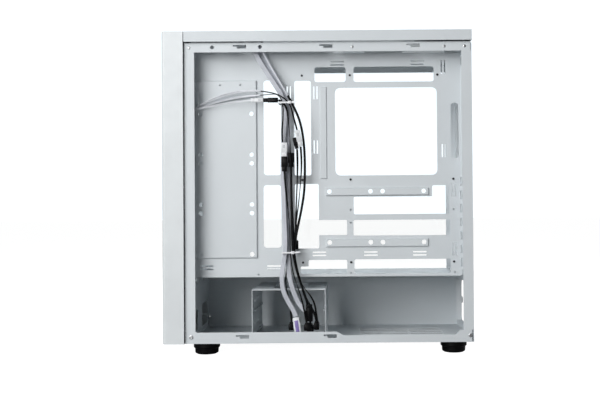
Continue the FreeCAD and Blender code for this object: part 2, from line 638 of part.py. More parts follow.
def make_fan_frame(z):
    """A square fan housing with a motor plate on four struts at its rear."""
    y = (WALL_Y - FAN_DEPTH, WALL_Y)
    x = span(0.0, FAN_SIZE)
    body = rounded_block(x, y, span(z, FAN_SIZE), Y_AXIS, 4.0)
    body = body.cut(drum((0, y[0] - 1, z), Y_AXIS, 56.8, FAN_DEPTH + 2))
    waist = []
    for a in (-1, 1):
        for b in (-1, 1):
            corner = block(span(a * 56.0, 14.0), (y[0] + 4.0, y[1] - 4.0), span(z + b * 56.0, 14.0))
            waist.append(corner)
    body = body.cut(waist)
    struts = [
        block((HUB_RADIUS - 1, 57.5), (y[1] - 4.0, y[1] - 1.0), span(z, 3.2))
        .rotate(Vector(0, 0, z), Y_AXIS, 45 + 90 * i)
        for i in range(4)
    ]
    motor = drum((0, y[1] - 4.0, z), Y_AXIS, HUB_RADIUS, 3.5)
    bore = drum((0, y[1] - 5.0, z), Y_AXIS, 1.55, 3.2)
    holes = fan_holes(Vector(0, y[0] - 1, z), Y_AXIS, FAN_DEPTH + 2)
    return without(joined([body, motor] + struts), [bore] + holes)


def make_rotor(z):
    """Hub, shaft and pitched blades of one fan."""
    front = WALL_Y - FAN_DEPTH + 1.5
    back = WALL_Y - 4.6
    hub = drum((0, front, z), Y_AXIS, HUB_RADIUS, back - front)
    shaft = drum((0, back, z), Y_AXIS, 1.5, 2.6)
    reach = drum((0, front + 0.6, z), Y_AXIS, BLADE_RADIUS, back - front - 1.2)
    blades = []
    for i in range(BLADES):
        middle = (front + back) / 2
        blade = block((HUB_RADIUS - 3, BLADE_RADIUS + 4), span(middle, 2.0), span(z, 30.0))
        blade = blade.rotate(Vector(0, middle, z), X_AXIS, 36)
        blades.append(blade.rotate(Vector(0, 0, z), Y_AXIS, 360 / BLADES * i).common(reach))
    return joined([hub, shaft] + blades)


# Top cover and the front I/O module

CLIP_PLACES = [(x, y) for x in (-80.0, 50.0) for y in (-165.0, 190.0)]
CLIP_RADIUS = 3.0
COVER_FRONT_Y = PANEL_REAR_Y + FRONT_GAP
COVER_Z = OUTER_HEIGHT - TOP_COVER_HEIGHT
VENT = ((-86.0, 46.0), (-130.0, 145.0))
MODULE_X = (63.0, 98.0)
MODULE_Y = (-193.0, -86.0)
POWER_AT = (80.5, -181.0)
RESET_AT = (80.5, -163.5)
USB_A_YS = (-149.0, -133.0)
USB_C_Y = -118.5
JACK_Y = -104.0
POWER_RADIUS = 7.0
RESET_RADIUS = 3.0


def make_top_cover():
    """A shallow tray-shaped cover, upside down, held by four pegs in the roof."""
    x = (-OUTER_SIDE, OUTER_SIDE)
    y = (COVER_FRONT_Y, REAR_Y)
    outer = block(x, y, (COVER_Z, OUTER_HEIGHT))
    inner = block((x[0] + 1.5, x[1] - 1.5), (y[0] + 1.5, y[1] - 1.5), (COVER_Z - 1, OUTER_HEIGHT - 1.5))
    pegs = [drum((a, b, ROOF_Z - 3.0), Z_AXIS, CLIP_RADIUS, OUTER_HEIGHT - 1 - ROOF_Z + 3)
            for a, b in CLIP_PLACES]
    depth = (OUTER_HEIGHT - 3, OUTER_HEIGHT + 1)
    vent = rounded_block(*VENT, depth, Z_AXIS, 6.0)
    port = rounded_block((MODULE_X[0] - 0.5, MODULE_X[1] + 0.5), (MODULE_Y[0] - 0.5, MODULE_Y[1] + 0.5),
                         depth, Z_AXIS, 3.5)
    return without(joined([outer.cut(inner)] + pegs), [vent, port])


def make_top_filter():
    """A thin dust mesh, glued under the cover round its vent."""
    return block((VENT[0][0] - 5, VENT[0][1] + 5), (VENT[1][0] - 5, VENT[1][1] + 5),
                 (OUTER_HEIGHT - 2.5, OUTER_HEIGHT - 1.5))


def make_io_housing():
    """Hollow plinth on the roof that stands level with the cover, with holes for its ports."""
    z = (ROOF_Z, OUTER_HEIGHT)
    outer = rounded_block(MODULE_X, MODULE_Y, z, Z_AXIS, 3.0)
    hollow = block((MODULE_X[0] + 2, MODULE_X[1] - 2), (MODULE_Y[0] + 2, MODULE_Y[1] - 2),
                   (z[0] - 1, z[1] - 2))
    x = POWER_AT[0]
    depth = (z[1] - 3, z[1] + 1)
    ports = [
        drum((*POWER_AT, depth[0]), Z_AXIS, POWER_RADIUS + 0.35, 4),
        drum((*RESET_AT, depth[0]), Z_AXIS, RESET_RADIUS + 0.3, 4),
        drum((x, JACK_Y, depth[0]), Z_AXIS, 3.3, 4),
        rounded_block(span(x, 10.2), span(USB_C_Y, 4.4), depth, Z_AXIS, 2.1),
    ]
    ports += [block(span(x, 14.6), span(y, 7.2), depth) for y in USB_A_YS]
    return without(outer, [hollow] + ports)


def make_io_board():
    """Circuit board with its switches, sockets and audio jack soldered on."""
    x = POWER_AT[0]
    z = (ROOF_Z + 3.0, ROOF_Z + 4.6)
    top = OUTER_HEIGHT - 0.6
    plate = block((MODULE_X[0] + 3, MODULE_X[1] - 3), (MODULE_Y[0] + 3, -113.0), z)
    tail = block(span(x, 12.0), (-114.0, JACK_Y + 5.0), z)
    props = [
        block((a, a + 3.0), span(y, 3.0), (ROOF_Z, z[0]))
        for a in (MODULE_X[0] + 4, MODULE_X[1] - 7) for y in (MODULE_Y[0] + 8, -120.0)
    ]
    switches = [block(span(a, 6.0), span(b, 6.0), (z[1], z[1] + 3.0)) for a, b in (POWER_AT, RESET_AT)]
    sockets = []
    for y in USB_A_YS:
        shell = block(span(x, 13.2), span(y, 5.8), (z[1], top))
        shell = shell.cut(block(span(x, 12.2), span(y, 4.8), (top - 9, top + 1)))
        tongue = block(span(x, 11.0), (y + 0.2, y + 2.4), (top - 9.2, top - 1))
        sockets.append(shell.fuse(tongue))
    shell = rounded_block(span(x, 8.9), span(USB_C_Y, 3.2), (z[1], top), Z_AXIS, 1.5)
    well = rounded_block(span(x, 8.2), span(USB_C_Y, 2.5), (top - 6, top + 1), Z_AXIS, 1.2)
    sockets.append(shell.cut(well).fuse(block(span(x, 6.6), span(USB_C_Y, 0.7), (top - 6.2, top - 1))))
    jack = drum((x, JACK_Y, z[1]), Z_AXIS, 3.0, top - z[1])
    sockets.append(jack.cut(drum((x, JACK_Y, top - 12), Z_AXIS, 1.75, 13)))
    return joined([plate, tail] + props + switches + sockets)


def make_button(centre, radius):
    """A round cap with a retaining collar and a stem that stands on its switch."""
    x, y = centre
    top = OUTER_HEIGHT - 0.2
    cap = drum((x, y, top - 4.0), Z_AXIS, radius, 4.0)
    rim = cap.Edges[0] if cap.Edges[0].CenterOfMass.z > top - 1 else cap.Edges[2]
    cap = cap.makeFillet(0.6, [rim])
    collar = drum((x, y, top - 4.0), Z_AXIS, radius + 1.2, 1.4)
    stem = drum((x, y, ROOF_Z + 9.1), Z_AXIS, 1.8, top - 4.0 - ROOF_Z - 9.1)
    return joined([cap, collar, stem])


# Glass side panel and the filter under the power supply

GLASS_THICKNESS = 4.0
GLASS_Y = (WALL_Y + 4.0, REAR_Y - 2.0)
GLASS_Z = (FLOOR_Z + 1.0, ROOF_Z)
HOOK_GAP = 0.35
THUMBSCREW_ZS = (60.0, 418.0)


def make_glass():
    x = (-OUTER_SIDE, -OUTER_SIDE + GLASS_THICKNESS)
    glass = rounded_block(x, GLASS_Y, GLASS_Z, X_AXIS, 2.0)
    return glass.makeChamfer(0.4, [edge for edge in glass.Edges if edge.CenterOfMass.x < x[0] + 0.01])


def glass_hook(start_y, top_z):
    """A neck through a rail's slot, with a lip that hangs behind the rail."""
    neck_x = (-OUTER_SIDE + GLASS_THICKNESS + 0.5, -SIDE + SHEET + HOOK_GAP + 1.2)
    neck_z = (top_z - HOOK_NECK[1] + 0.5, top_z - 0.5)
    neck = block(neck_x, (start_y + 0.8, start_y + 4.8), neck_z)
    lip_x = (-SIDE + SHEET + HOOK_GAP, neck_x[1])
    lip = block(lip_x, (start_y + 0.8, start_y + 4.8), (top_z - HOOK_MOUTH[1] + 0.5, neck_z[1]))
    return neck.fuse(lip)


def make_glass_frame():
    """Steel strips bonded to the glass, with hooks and two lips that the thumbscrews clamp."""
    x = (-OUTER_SIDE + GLASS_THICKNESS, -SIDE - HOOK_GAP)
    parts = [
        block(x, (GLASS_Y[0] + 3, GLASS_Y[1] - 1), (GLASS_Z[1] - 13.0, GLASS_Z[1] - 1.0)),
        block(x, (GLASS_Y[0] + 3, GLASS_Y[1] - 1), (GLASS_Z[0] + 1.0, GLASS_Z[0] + 15.0)),
        block(x, (GLASS_Y[1] - 16.0, GLASS_Y[1] - 1), (GLASS_Z[0] + 1.0, GLASS_Z[1] - 1.0)),
        block(x, (GLASS_Y[0] + 3, GLASS_Y[0] + 15.0), (GLASS_Z[0] + 1.0, GLASS_Z[1] - 1.0)),
    ]
    parts += [glass_hook(start, HOOK_SLOT_TOP[1]) for start in HOOK_SLOT_TOP[0]]
    parts += [glass_hook(start, HOOK_SLOT_BOTTOM[1]) for start in HOOK_SLOT_BOTTOM[0]]
    holes = []
    for z in THUMBSCREW_ZS:
        parts.append(block(x, (GLASS_Y[1] - 2.0, REAR_Y + 1.4), span(z, 22.0)))
        parts.append(block((x[0], -SIDE + 15.0), (REAR_Y + 0.4, REAR_Y + 1.4), span(z, 22.0)))
        holes.append(drum((-SIDE + 8.0, REAR_Y, z), Y_AXIS, 2.2, 3.0))
    return without(joined(parts), holes)


def make_thumbscrews():
    screws = []
    for z in THUMBSCREW_ZS:
        x = -SIDE + 8.0
        grip = drum((x, REAR_Y + 2.6, z), Y_AXIS, 5.6, THUMBSCREW_REACH - 2.6)
        seat = drum((x, REAR_Y + 1.4, z), Y_AXIS, 3.6, 1.2)
        knurl = [
            drum((x + 6.0 * math.cos(math.radians(a)), REAR_Y + 2.0,
                  z + 6.0 * math.sin(math.radians(a))), Y_AXIS, 0.8, THUMBSCREW_REACH)
            for a in range(0, 360, 30)
        ]
        shank = drum((x, REAR_Y + 0.5, z), Y_AXIS, 2.2, 1.0)
        screws.append(grip.cut(knurl).fuse([seat, shank]))
    return Part.makeCompound(screws)


FILTER_X = (INTAKE_X[0] + 0.4, INTAKE_X[1] - 0.4)
FILTER_Y = (INTAKE_Y[0], REAR_Y - 4.0)
FILTER_Z = (FLOOR_Z - RUNNER_DEPTH + 0.4, FLOOR_Z - 0.5)


def make_filter_frame():
    """A moulded frame that slides on the floor's runners, with a cross bar and a pull at its rear."""
    outer = rounded_block(FILTER_X, FILTER_Y, FILTER_Z, Z_AXIS, 3.0)
    middle = (FILTER_Y[0] + FILTER_Y[1]) / 2
    gaps = [
        block((FILTER_X[0] + 7, FILTER_X[1] - 7), (FILTER_Y[0] + 7, middle - 2), (0, FLOOR_Z)),
        block((FILTER_X[0] + 7, FILTER_X[1] - 7), (middle + 2, FILTER_Y[1] - 12), (0, FLOOR_Z)),
    ]
    pull = rounded_block(span((FILTER_X[0] + FILTER_X[1]) / 2, 40.0), (FILTER_Y[1] - 1, REAR_Y + 3.0),
                         (FILTER_Z[0], FILTER_Z[0] + 2.0), Z_AXIS, 1.9)
    return joined([outer.cut(gaps), pull])


def make_filter_mesh():
    return block((FILTER_X[0] + 7, FILTER_X[1] - 7), (FILTER_Y[0] + 7, FILTER_Y[1] - 12),
                 (FILTER_Z[1] - 1.0, FILTER_Z[1] - 0.4)).cut(
        block((FILTER_X[0] + 6, FILTER_X[1] - 6), span((FILTER_Y[0] + FILTER_Y[1]) / 2, 4.0),
              (0, FLOOR_Z)))


# Front-panel and fan cables. Each route's points are chosen by hand: x, y, z.

CABLES = {
    "type_c_cable": (7.0, [
        (92, -104, 461), (92, -93, 441), (92, -80, 420), (92, -67, 400), (92, -55, 381),
        (92, -51.5, 357), (91.5, -54.5, 324), (91, -56, 287), (91, -55.8, 248), (91, -54.5, 211),
        (91, -53.2, 178), (91, -52.8, 151), (92, -56.8, 129), (93, -59, 109), (93, -56, 91),
        (93, -48, 75), (92.5, -40.8, 63.4), (92.5, -38, 55.2),
    ]),
    "usb_cable": (7.0, [
        (84, -97, 461), (84, -86, 441), (84, -73, 421), (84, -61.5, 402), (84, -51, 382),
        (84, -47.5, 358), (84, -48.7, 322), (84, -49.2, 284), (84, -49.4, 246), (84, -49.8, 210),
        (84, -49.8, 178), (84, -49.4, 150), (87, -49.2, 127), (89, -46, 106), (89.5, -39.8, 87),
        (89.5, -32.8, 71.5), (89.5, -24.6, 63.4),
    ]),
    "audio_cable": (3.6, [
        (91, -90.5, 461), (92, -78, 436), (94, -63, 410), (96.4, -49, 386), (96.4, -38.5, 366),
        (96.2, -29.5, 345), (96, -24.8, 320), (94.5, -23, 294), (93.5, -23, 268), (93, -24, 240),
        (93.5, -28.5, 213), (93.8, -33.2, 192), (93.5, -37.5, 171), (92.4, -40.3, 150),
        (93.5, -36.5, 127), (94, -30.2, 104), (88, -25.4, 88), (80.8, -21, 72.6),
        (79.5, -17.6, 57), (79.5, -17, 43.2),
    ]),
    "switch_cable": (3.0, [
        (78.5, -99, 461), (78.5, -86, 438), (78.5, -72, 414), (78.5, -59.5, 391), (78.5, -54, 366),
        (78.4, -55, 334), (78.2, -55.6, 298), (78, -55.4, 262), (77.8, -53.8, 226),
        (77.8, -50.8, 192), (78.4, -47.4, 166), (79.4, -47, 144), (80.4, -51.6, 127),
        (84.6, -53.4, 112), (86.8, -52.4, 97), (86.6, -48.8, 80), (85.4, -45.4, 63),
        (85.4, -45, 46.2),
    ]),
    "fan_lead_1": (2.6, [
        (84, -199.6, 361), (84, -181, 371), (84.5, -160, 380.5), (85, -138, 387.5),
        (86, -115, 391.5), (89, -93, 391.3), (92.5, -74, 388.5), (97.3, -58, 383), (98.8, -44, 371),
        (96.4, -39.6, 352.5), (91.6, -36.3, 340), (89.2, -34.6, 332.4),
    ]),
    "fan_lead_2": (2.6, [
        (80, -199.6, 360), (80, -181, 368.5), (80, -160, 375), (80.6, -138, 380),
        (82.5, -115, 383), (87.5, -93, 384.6), (94, -76, 385), (99.4, -62, 385),
        (101.2, -54, 372), (101, -54.6, 345), (99.4, -56.6, 328), (98, -55.6, 313.2),
    ]),
    "fan_lead_3": (2.6, [
        (88, -199.6, 359.6), (88, -181, 365.4), (88.6, -160, 369.6), (90, -139, 373),
        (92.8, -119, 375.2), (96.8, -102.4, 376.2),
    ]),
    "splitter_wire_1": (3.2, [
        (89, -29.4, 307.4), (89, -28.3, 295), (90, -28.2, 274), (91, -30, 250), (90.6, -32.4, 226),
        (89.2, -35.8, 202), (88, -39, 176), (87.6, -41, 150), (88.4, -38.2, 128),
        (88.6, -32.2, 108), (88.6, -23.4, 94), (88.6, -14, 82.5), (88, -8.4, 68), (87, -7, 48.2),
    ]),
    "splitter_wire_2": (3.2, [
        (83, -35, 304.2), (83, -34.4, 288), (83, -34.8, 264), (83, -36, 238), (82.8, -37.3, 212),
        (82.6, -37.6, 189), (82.4, -37.6, 168.2),
    ]),
    "splitter_wire_3": (3.2, [
        (98, -53, 270), (97.8, -52.4, 256), (97, -50.4, 236), (95.8, -48, 213), (95.2, -46.4, 191),
        (94.8, -45.7, 170), (94.6, -45.5, 150), (95.8, -43.2, 128), (97, -37.6, 107),
        (97.6, -31, 89), (98.6, -27, 73), (98.8, -23.6, 59), (97.3, -21.8, 46.6),
    ]),
    "splitter_wire_4": (3.2, [
        (92, -43.3, 277), (92, -43.3, 262), (90.5, -43.2, 240), (87, -42.4, 214), (83, -41.8, 190),
        (80.4, -41.7, 168.2),
    ]),
    "splitter_wire_5": (3.2, [
        (96.8, -61.3, 376.2), (97.6, -54, 373), (97.9, -48.6, 362), (97.7, -46.4, 343),
        (97.4, -44.9, 320), (97.6, -44, 296), (97.8, -43.8, 270), (97.8, -43.6, 242),
        (97.8, -43.2, 214), (98, -42.6, 188), (98.2, -42.1, 166), (98.2, -41.6, 149),
        (99.2, -38, 128), (100, -32, 107), (100.2, -24.6, 88), (99.6, -16.4, 72),
        (97.4, -9.6, 60), (96, -7.4, 48.4),
    ]),
}
ARC_SHARE = 0.45


def cable_path(points):
    """Straight runs joined by tangent arcs, as large as the shorter run at each point allows."""
    route = [Vector(*point) for point in points]
    edges, radii = [], []
    start = route[0]
    for before, corner, after in zip(route, route[1:], route[2:]):
        inward = (corner - before).normalize()
        onward = (after - corner).normalize()
        cut = ARC_SHARE * min((corner - before).Length, (after - corner).Length)
        half_turn = inward.getAngle(onward) / 2
        first = corner - inward * cut
        last = corner + onward * cut
        radius = cut / math.tan(half_turn)
        bulge = (onward - inward).normalize()
        middle = corner + bulge * (radius / math.cos(half_turn) - radius)
        edges.append(Part.LineSegment(start, first).toShape())
        edges.append(Part.Arc(first, middle, last).toShape())
        radii.append(radius)
        start = last
    edges.append(Part.LineSegment(start, route[-1]).toShape())
    return Part.Wire(edges), min(radii)


def make_cable(name, diameter, points):
    path, tightest = cable_path(points)
    start = Vector(*points[0])
    circle = Part.makeCircle(diameter / 2, start, Vector(*points[1]) - start)
    tube = path.makePipeShell([Part.Wire([circle])], True, True)
    section = math.pi * diameter ** 2 / 4
    share = tube.Volume / (section * path.Length)
    print(f"{name}: {path.Length:.0f} mm long, tightest radius {tightest / diameter:.1f} diameters, "
          f"volume over section times length {share:.4f}")
    return tube


def tilted_block(centre, size, angle):
    """A box turned about +X by an angle in degrees, for a plug that hangs askew."""
    x, y, z = centre
    body = rounded_block(span(x, size[0]), span(y, size[1]), span(z, size[2]), Z_AXIS, 0.6)
    return body.rotate(Vector(*centre), X_AXIS, angle)


def make_fan_plugs():
    """The white plugs on the ends of the three fan leads."""
    return Part.makeCompound([
        tilted_block((89, -31.9, 320), (6.0, 8.0, 24.4), 12),
        tilted_block((98, -53.4, 302.5), (6.0, 10.0, 20.6), 0),
        block((93.8, 99.8), (-102.2, -84.0), (372.9, 379.5)),
    ])


def make_splitter_sockets():
    """The black sockets of the fan splitter, and the block where its wires join."""
    return Part.makeCompound([
        tilted_block((83, -37, 313), (6.0, 6.6, 17.0), 12),
        tilted_block((98, -53.0, 281.1), (6.0, 9.4, 22.0), 0),
        tilted_block((92, -43.3, 287.5), (6.0, 9.4, 21.0), 0),
        block((93.4, 100.2), (-83.8, -62.0), (372.7, 379.7)),
        rounded_block((77.4, 85.4), (-43.8, -34.0), (154.0, 168.0), Z_AXIS, 1.5),
    ])


def make_header_plugs():
    """Small black plugs: audio, switches and the splitter's three board ends."""
    return Part.makeCompound([
        block((76.0, 83.0), (-22.0, -12.0), (31.0, 43.0)),
        block((81.6, 88.6), (-49.4, -40.8), (34.0, 46.0)),
        block((84.0, 90.0), (-11.0, -3.4), (36.0, 48.0)),
        block((90.6, 99.0), (-26.0, -13.6), (34.0, 46.0)),
        block((93.0, 99.0), (-11.4, -3.4), (36.0, 48.0)),
    ])


def make_usb_plug():
    """The large black board plug: a body with a polarising rib and a cable collar."""
    body = rounded_block((84.5, 95.5), (-23.4, -12.7), (47.6, 72.9), X_AXIS, 0.8)
    rib = block((95.5, 97.0), (-19.5, -16.6), (52.0, 68.0))
    return body.fuse(rib).removeSplitter()


def make_type_c_plug():
    """The plug's outer shell, at the end of the flat cable."""
    return tilted_block((92.5, -36.4, 42.2), (6.6, 10.4, 23.4), 8)


def make_ties():
    """Two cable ties, each a closed band with a head and a cut tail."""
    bands = []
    for (x, y, z), (half_x, half_y) in (((88.8, -46.8, 150.0), (12.6, 11.6)),
                                        ((89.6, -49.9, 372.0), (14.0, 11.8))):
        outer = rounded_block((x - half_x, x + half_x), (y - half_y, y + half_y),
                              (z - 1.4, z + 1.4), Z_AXIS, 6.0)
        inner = rounded_block((x - half_x + 1, x + half_x - 1), (y - half_y + 1, y + half_y - 1),
                              (z - 2, z + 2), Z_AXIS, 5.0)
        head = block((x + half_x - 0.6, x + half_x + 2.6), (y + 3.0, y + 8.0), (z - 2.4, z + 2.4))
        tail = block((x + half_x + 0.4, x + half_x + 1.4), (y + 8.0, y + 15.0), (z - 1.2, z + 1.2))
        bands.append(outer.cut(inner).fuse([head, tail]).removeSplitter())
    return Part.makeCompound(bands)


# All the pieces

PIECES["bottom_pan"] = make_bottom_pan()
PIECES["front_frame"] = make_front_frame()
PIECES["rear_panel"] = make_rear_panel()
PIECES["top_frame"] = make_top_frame()
PIECES["motherboard_tray"] = make_tray()
PIECES["psu_shroud"] = make_shroud()
PIECES["hdd_cage"] = make_cage()
for number, slot_z in enumerate(SLOT_ZS, 1):
    PIECES[f"slot_cover_{number}"] = make_slot_cover(slot_z)
PIECES["case_screws"] = make_case_screws()
PIECES["frame_rivets"] = make_rivets()
PIECES["standoffs"] = make_standoffs()
for end, foot_y in zip(("front", "rear"), FOOT_YS):
    PIECES[f"foot_{end}_right"] = make_foot(FOOT_X, foot_y)
    PIECES[f"foot_{end}_left"] = make_foot(-FOOT_X, foot_y)
PIECES["foot_pads"] = make_foot_pads()
PIECES["front_bezel"] = make_bezel()
PIECES["front_mesh"] = make_front_mesh()
PIECES["front_filter"] = make_front_filter()
for number, fan_z in enumerate(FAN_CENTRES_Z, 1):
    PIECES[f"fan_frame_{number}"] = make_fan_frame(fan_z)
    PIECES[f"fan_rotor_{number}"] = make_rotor(fan_z)
PIECES["top_cover"] = make_top_cover()
PIECES["top_filter"] = make_top_filter()
PIECES["io_housing"] = make_io_housing()
PIECES["io_board"] = make_io_board()
PIECES["power_button"] = make_button(POWER_AT, POWER_RADIUS)
PIECES["reset_button"] = make_button(RESET_AT, RESET_RADIUS)
PIECES["glass_panel"] = make_glass()
PIECES["glass_frame"] = make_glass_frame()
PIECES["glass_thumbscrews"] = make_thumbscrews()
PIECES["psu_filter_frame"] = make_filter_frame()
PIECES["psu_filter_mesh"] = make_filter_mesh()
for cable_name, (cable_diameter, cable_points) in CABLES.items():
    PIECES[cable_name] = make_cable(cable_name, cable_diameter, cable_points)
PIECES["usb_plug"] = make_usb_plug()
PIECES["type_c_plug"] = make_type_c_plug()
PIECES["header_plugs"] = make_header_plugs()
PIECES["fan_plugs"] = make_fan_plugs()
PIECES["splitter_sockets"] = make_splitter_sockets()
PIECES["cable_ties"] = make_ties()

os.makedirs("parts", exist_ok=True)
for piece_name, piece_shape in PIECES.items():
    if not piece_shape.isValid():
        print(f"{piece_name} is not a valid shape")
    piece_shape.exportStep(f"parts/{piece_name}.step")
print(len(PIECES), "pieces")
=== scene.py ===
"""Looks for an open mid-tower computer case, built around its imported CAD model. Metres."""

import math

import bmesh
import bpy
from mathutils import Matrix, Vector


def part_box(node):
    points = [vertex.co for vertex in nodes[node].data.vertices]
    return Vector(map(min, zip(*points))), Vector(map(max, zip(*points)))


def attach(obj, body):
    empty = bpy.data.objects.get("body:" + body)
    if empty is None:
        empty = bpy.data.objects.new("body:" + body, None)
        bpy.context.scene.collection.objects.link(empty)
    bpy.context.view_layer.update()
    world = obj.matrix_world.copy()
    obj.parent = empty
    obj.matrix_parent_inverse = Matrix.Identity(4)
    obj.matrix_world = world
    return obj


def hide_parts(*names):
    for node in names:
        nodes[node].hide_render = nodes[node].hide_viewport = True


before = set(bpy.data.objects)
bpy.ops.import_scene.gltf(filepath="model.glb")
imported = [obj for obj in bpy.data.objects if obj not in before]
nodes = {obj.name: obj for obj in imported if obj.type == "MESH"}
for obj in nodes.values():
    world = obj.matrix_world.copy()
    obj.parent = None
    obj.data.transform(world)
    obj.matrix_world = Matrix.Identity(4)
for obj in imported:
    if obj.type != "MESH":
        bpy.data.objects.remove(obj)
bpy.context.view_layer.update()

scene = bpy.context.scene
UP = Vector((0, 0, 1))


def set_all(thing, **settings):
    for key, value in settings.items():
        setattr(thing, key, value)


# Camera

CAMERA_PLACE = (1.4025, 0.04515, 0.208)
CAMERA_TILT = 0.84
CAMERA_ROLL = -0.44


def make_camera():
    """A long lens at the height of the case's middle, looking straight at its open side."""
    data = bpy.data.cameras.new("camera")
    set_all(data, sensor_width=36.0, lens=52.9, shift_x=-0.085, clip_start=0.05, clip_end=50.0)
    camera = bpy.data.objects.new("camera", data)
    scene.collection.objects.link(camera)
    aim = Matrix.Rotation(math.radians(90.0), 4, "Z")
    tilt = Matrix.Rotation(math.radians(90.0 + CAMERA_TILT), 4, "X")
    roll = Matrix.Rotation(math.radians(CAMERA_ROLL), 4, "Z")
    camera.matrix_world = Matrix.Translation(CAMERA_PLACE) @ aim @ tilt @ roll
    scene.camera = camera


make_camera()


# Node materials

MATERIALS = {}


def set_input(tree, socket, value):
    """Links value to the socket if value is a socket too, or else stores it there."""
    if isinstance(value, bpy.types.NodeSocket):
        tree.links.new(value, socket)
    elif value is not None:
        socket.default_value = value


def add_node(tree, kind, inputs, **settings):
    node = tree.nodes.new("ShaderNode" + kind)
    set_all(node, **settings)
    for key, value in inputs.items():
        set_input(tree, node.inputs[key], value)
    return node


def finish_shader(tree, inputs):
    for key, value in inputs.items():
        set_input(tree, tree.nodes["Principled BSDF"].inputs[key], value)


def new_material(name):
    """A new material's node tree, and the object's own coordinates in it."""
    material = bpy.data.materials.new(name)
    material.use_nodes = True
    MATERIALS[name] = material
    return material.node_tree, object_coordinates(material.node_tree)


def object_coordinates(tree, scale=(1.0, 1.0, 1.0)):
    place = add_node(tree, "TexCoord", {})
    inputs = {"Scale": scale, "Vector": place.outputs["Object"]}
    return add_node(tree, "Mapping", inputs).outputs["Vector"]


def noise(tree, vector, scale, detail=3.0, roughness=0.55):
    inputs = {"Scale": scale, "Detail": detail, "Roughness": roughness, "Vector": vector}
    return add_node(tree, "TexNoise", inputs).outputs["Fac"]


def remap(tree, value, low, high, to_low, to_high):
    inputs = {"From Min": low, "From Max": high, "To Min": to_low, "To Max": to_high, "Value": value}
    return add_node(tree, "MapRange", inputs).outputs["Result"]


def blend_colours(tree, factor, first, second):
    """first and second are colours, or sockets that carry one."""
    first, second = [value if isinstance(value, bpy.types.NodeSocket) else (*value, 1.0)
                     for value in (first, second)]
    inputs = {"Factor": factor, 6: first, 7: second}
    return add_node(tree, "Mix", inputs, data_type="RGBA").outputs[2]


def maths(tree, operation, first, second):
    return add_node(tree, "Math", {0: first, 1: second}, operation=operation).outputs[0]


def bump(tree, height, distance, strength, normal=None):
    inputs = {"Strength": strength, "Distance": distance, "Height": height, "Normal": normal}
    return add_node(tree, "Bump", inputs).outputs["Normal"]


def shade(colour, factor):
    return tuple(min(1.0, c * factor) for c in colour)


def mottled(tree, pattern, colour, dark, light, low=0.3):
    """A colour that wanders between two shades of itself where the pattern goes from low to 0.7."""
    share = remap(tree, pattern, low, 0.7, 0.0, 1.0)
    return blend_colours(tree, share, shade(colour, dark), shade(colour, light))


def rubbed_edges(tree, place, radius, scuffs, worn):
    """How bare a point is rubbed: up to worn, in patches, within a radius of a sharp edge."""
    rounded = add_node(tree, "Bevel", {"Radius": radius}, samples=4)
    plain = add_node(tree, "NewGeometry", {})
    product = add_node(tree, "VectorMath", {0: rounded.outputs["Normal"], 1: plain.outputs["Normal"]},
                       operation="DOT_PRODUCT")
    near_edge = remap(tree, product.outputs["Value"], 0.99, 0.80, 0.0, 1.0)
    return maths(tree, "MULTIPLY", near_edge, remap(tree, scuffs, 0.45, 0.65, 0.0, worn))


def powder_coat(name, colour, grain=1500.0, roughness=0.48, worn=0.25):
    """Sprayed and baked paint: fine orange peel, slight clouding, rubbed edges."""
    tree, place = new_material(name)
    tinted = mottled(tree, noise(tree, place, 9.0, 4.0), colour, 0.965, 1.02)
    specks = remap(tree, noise(tree, place, 2600.0, 1.0), 0.62, 0.75, 0.0, 0.35)
    speckled = blend_colours(tree, specks, tinted, shade(colour, 0.86))
    rubbed = rubbed_edges(tree, place, 0.0006, noise(tree, place, 260.0, 5.0, 0.7), worn)
    dull = noise(tree, place, 40.0, 4.0)
    peel = noise(tree, place, grain, 2.0, 0.5)
    finish_shader(tree, {
        "Base Color": blend_colours(tree, rubbed, speckled, shade(colour, 1.12)),
        "Roughness": remap(tree, dull, 0.3, 0.7, roughness - 0.05, roughness + 0.07),
        "Normal": bump(tree, peel, 0.00012, 0.35),
        "Specular IOR Level": 0.45,
    })


def moulded_plastic(name, colour, roughness=0.42, texture=900.0, worn=0.3, shine=0.5):
    """Injection-moulded plastic with a fine spark-eroded texture and a few dull handling marks."""
    tree, place = new_material(name)
    tinted = mottled(tree, noise(tree, place, 14.0, 3.0), colour, 0.95, 1.04)
    rubbed = rubbed_edges(tree, place, 0.0004, noise(tree, place, 420.0, 4.0, 0.7), worn)
    marks = noise(tree, place, 55.0, 5.0)
    finish_shader(tree, {
        "Base Color": blend_colours(tree, rubbed, tinted, shade(colour, 1.2)),
        "Roughness": remap(tree, marks, 0.35, 0.7, roughness - 0.06, roughness + 0.1),
        "Normal": bump(tree, noise(tree, place, texture, 2.0), 0.00006, 0.5),
        "Specular IOR Level": shine,
    })


def plated_metal(name, colour, roughness=0.3):
    """Turned or plated metal with fine tool lines and dull patches."""
    tree, place = new_material(name)
    lines = noise(tree, object_coordinates(tree, (1.0, 1.0, 12.0)), 1400.0, 2.0)
    patches = noise(tree, place, 180.0, 4.0)
    finish_shader(tree, {
        "Base Color": mottled(tree, patches, colour, 1.0, 0.72, low=0.35),
        "Metallic": 1.0,
        "Roughness": remap(tree, patches, 0.3, 0.7, roughness - 0.08, roughness + 0.15),
        "Normal": bump(tree, lines, 0.00004, 0.5),
    })


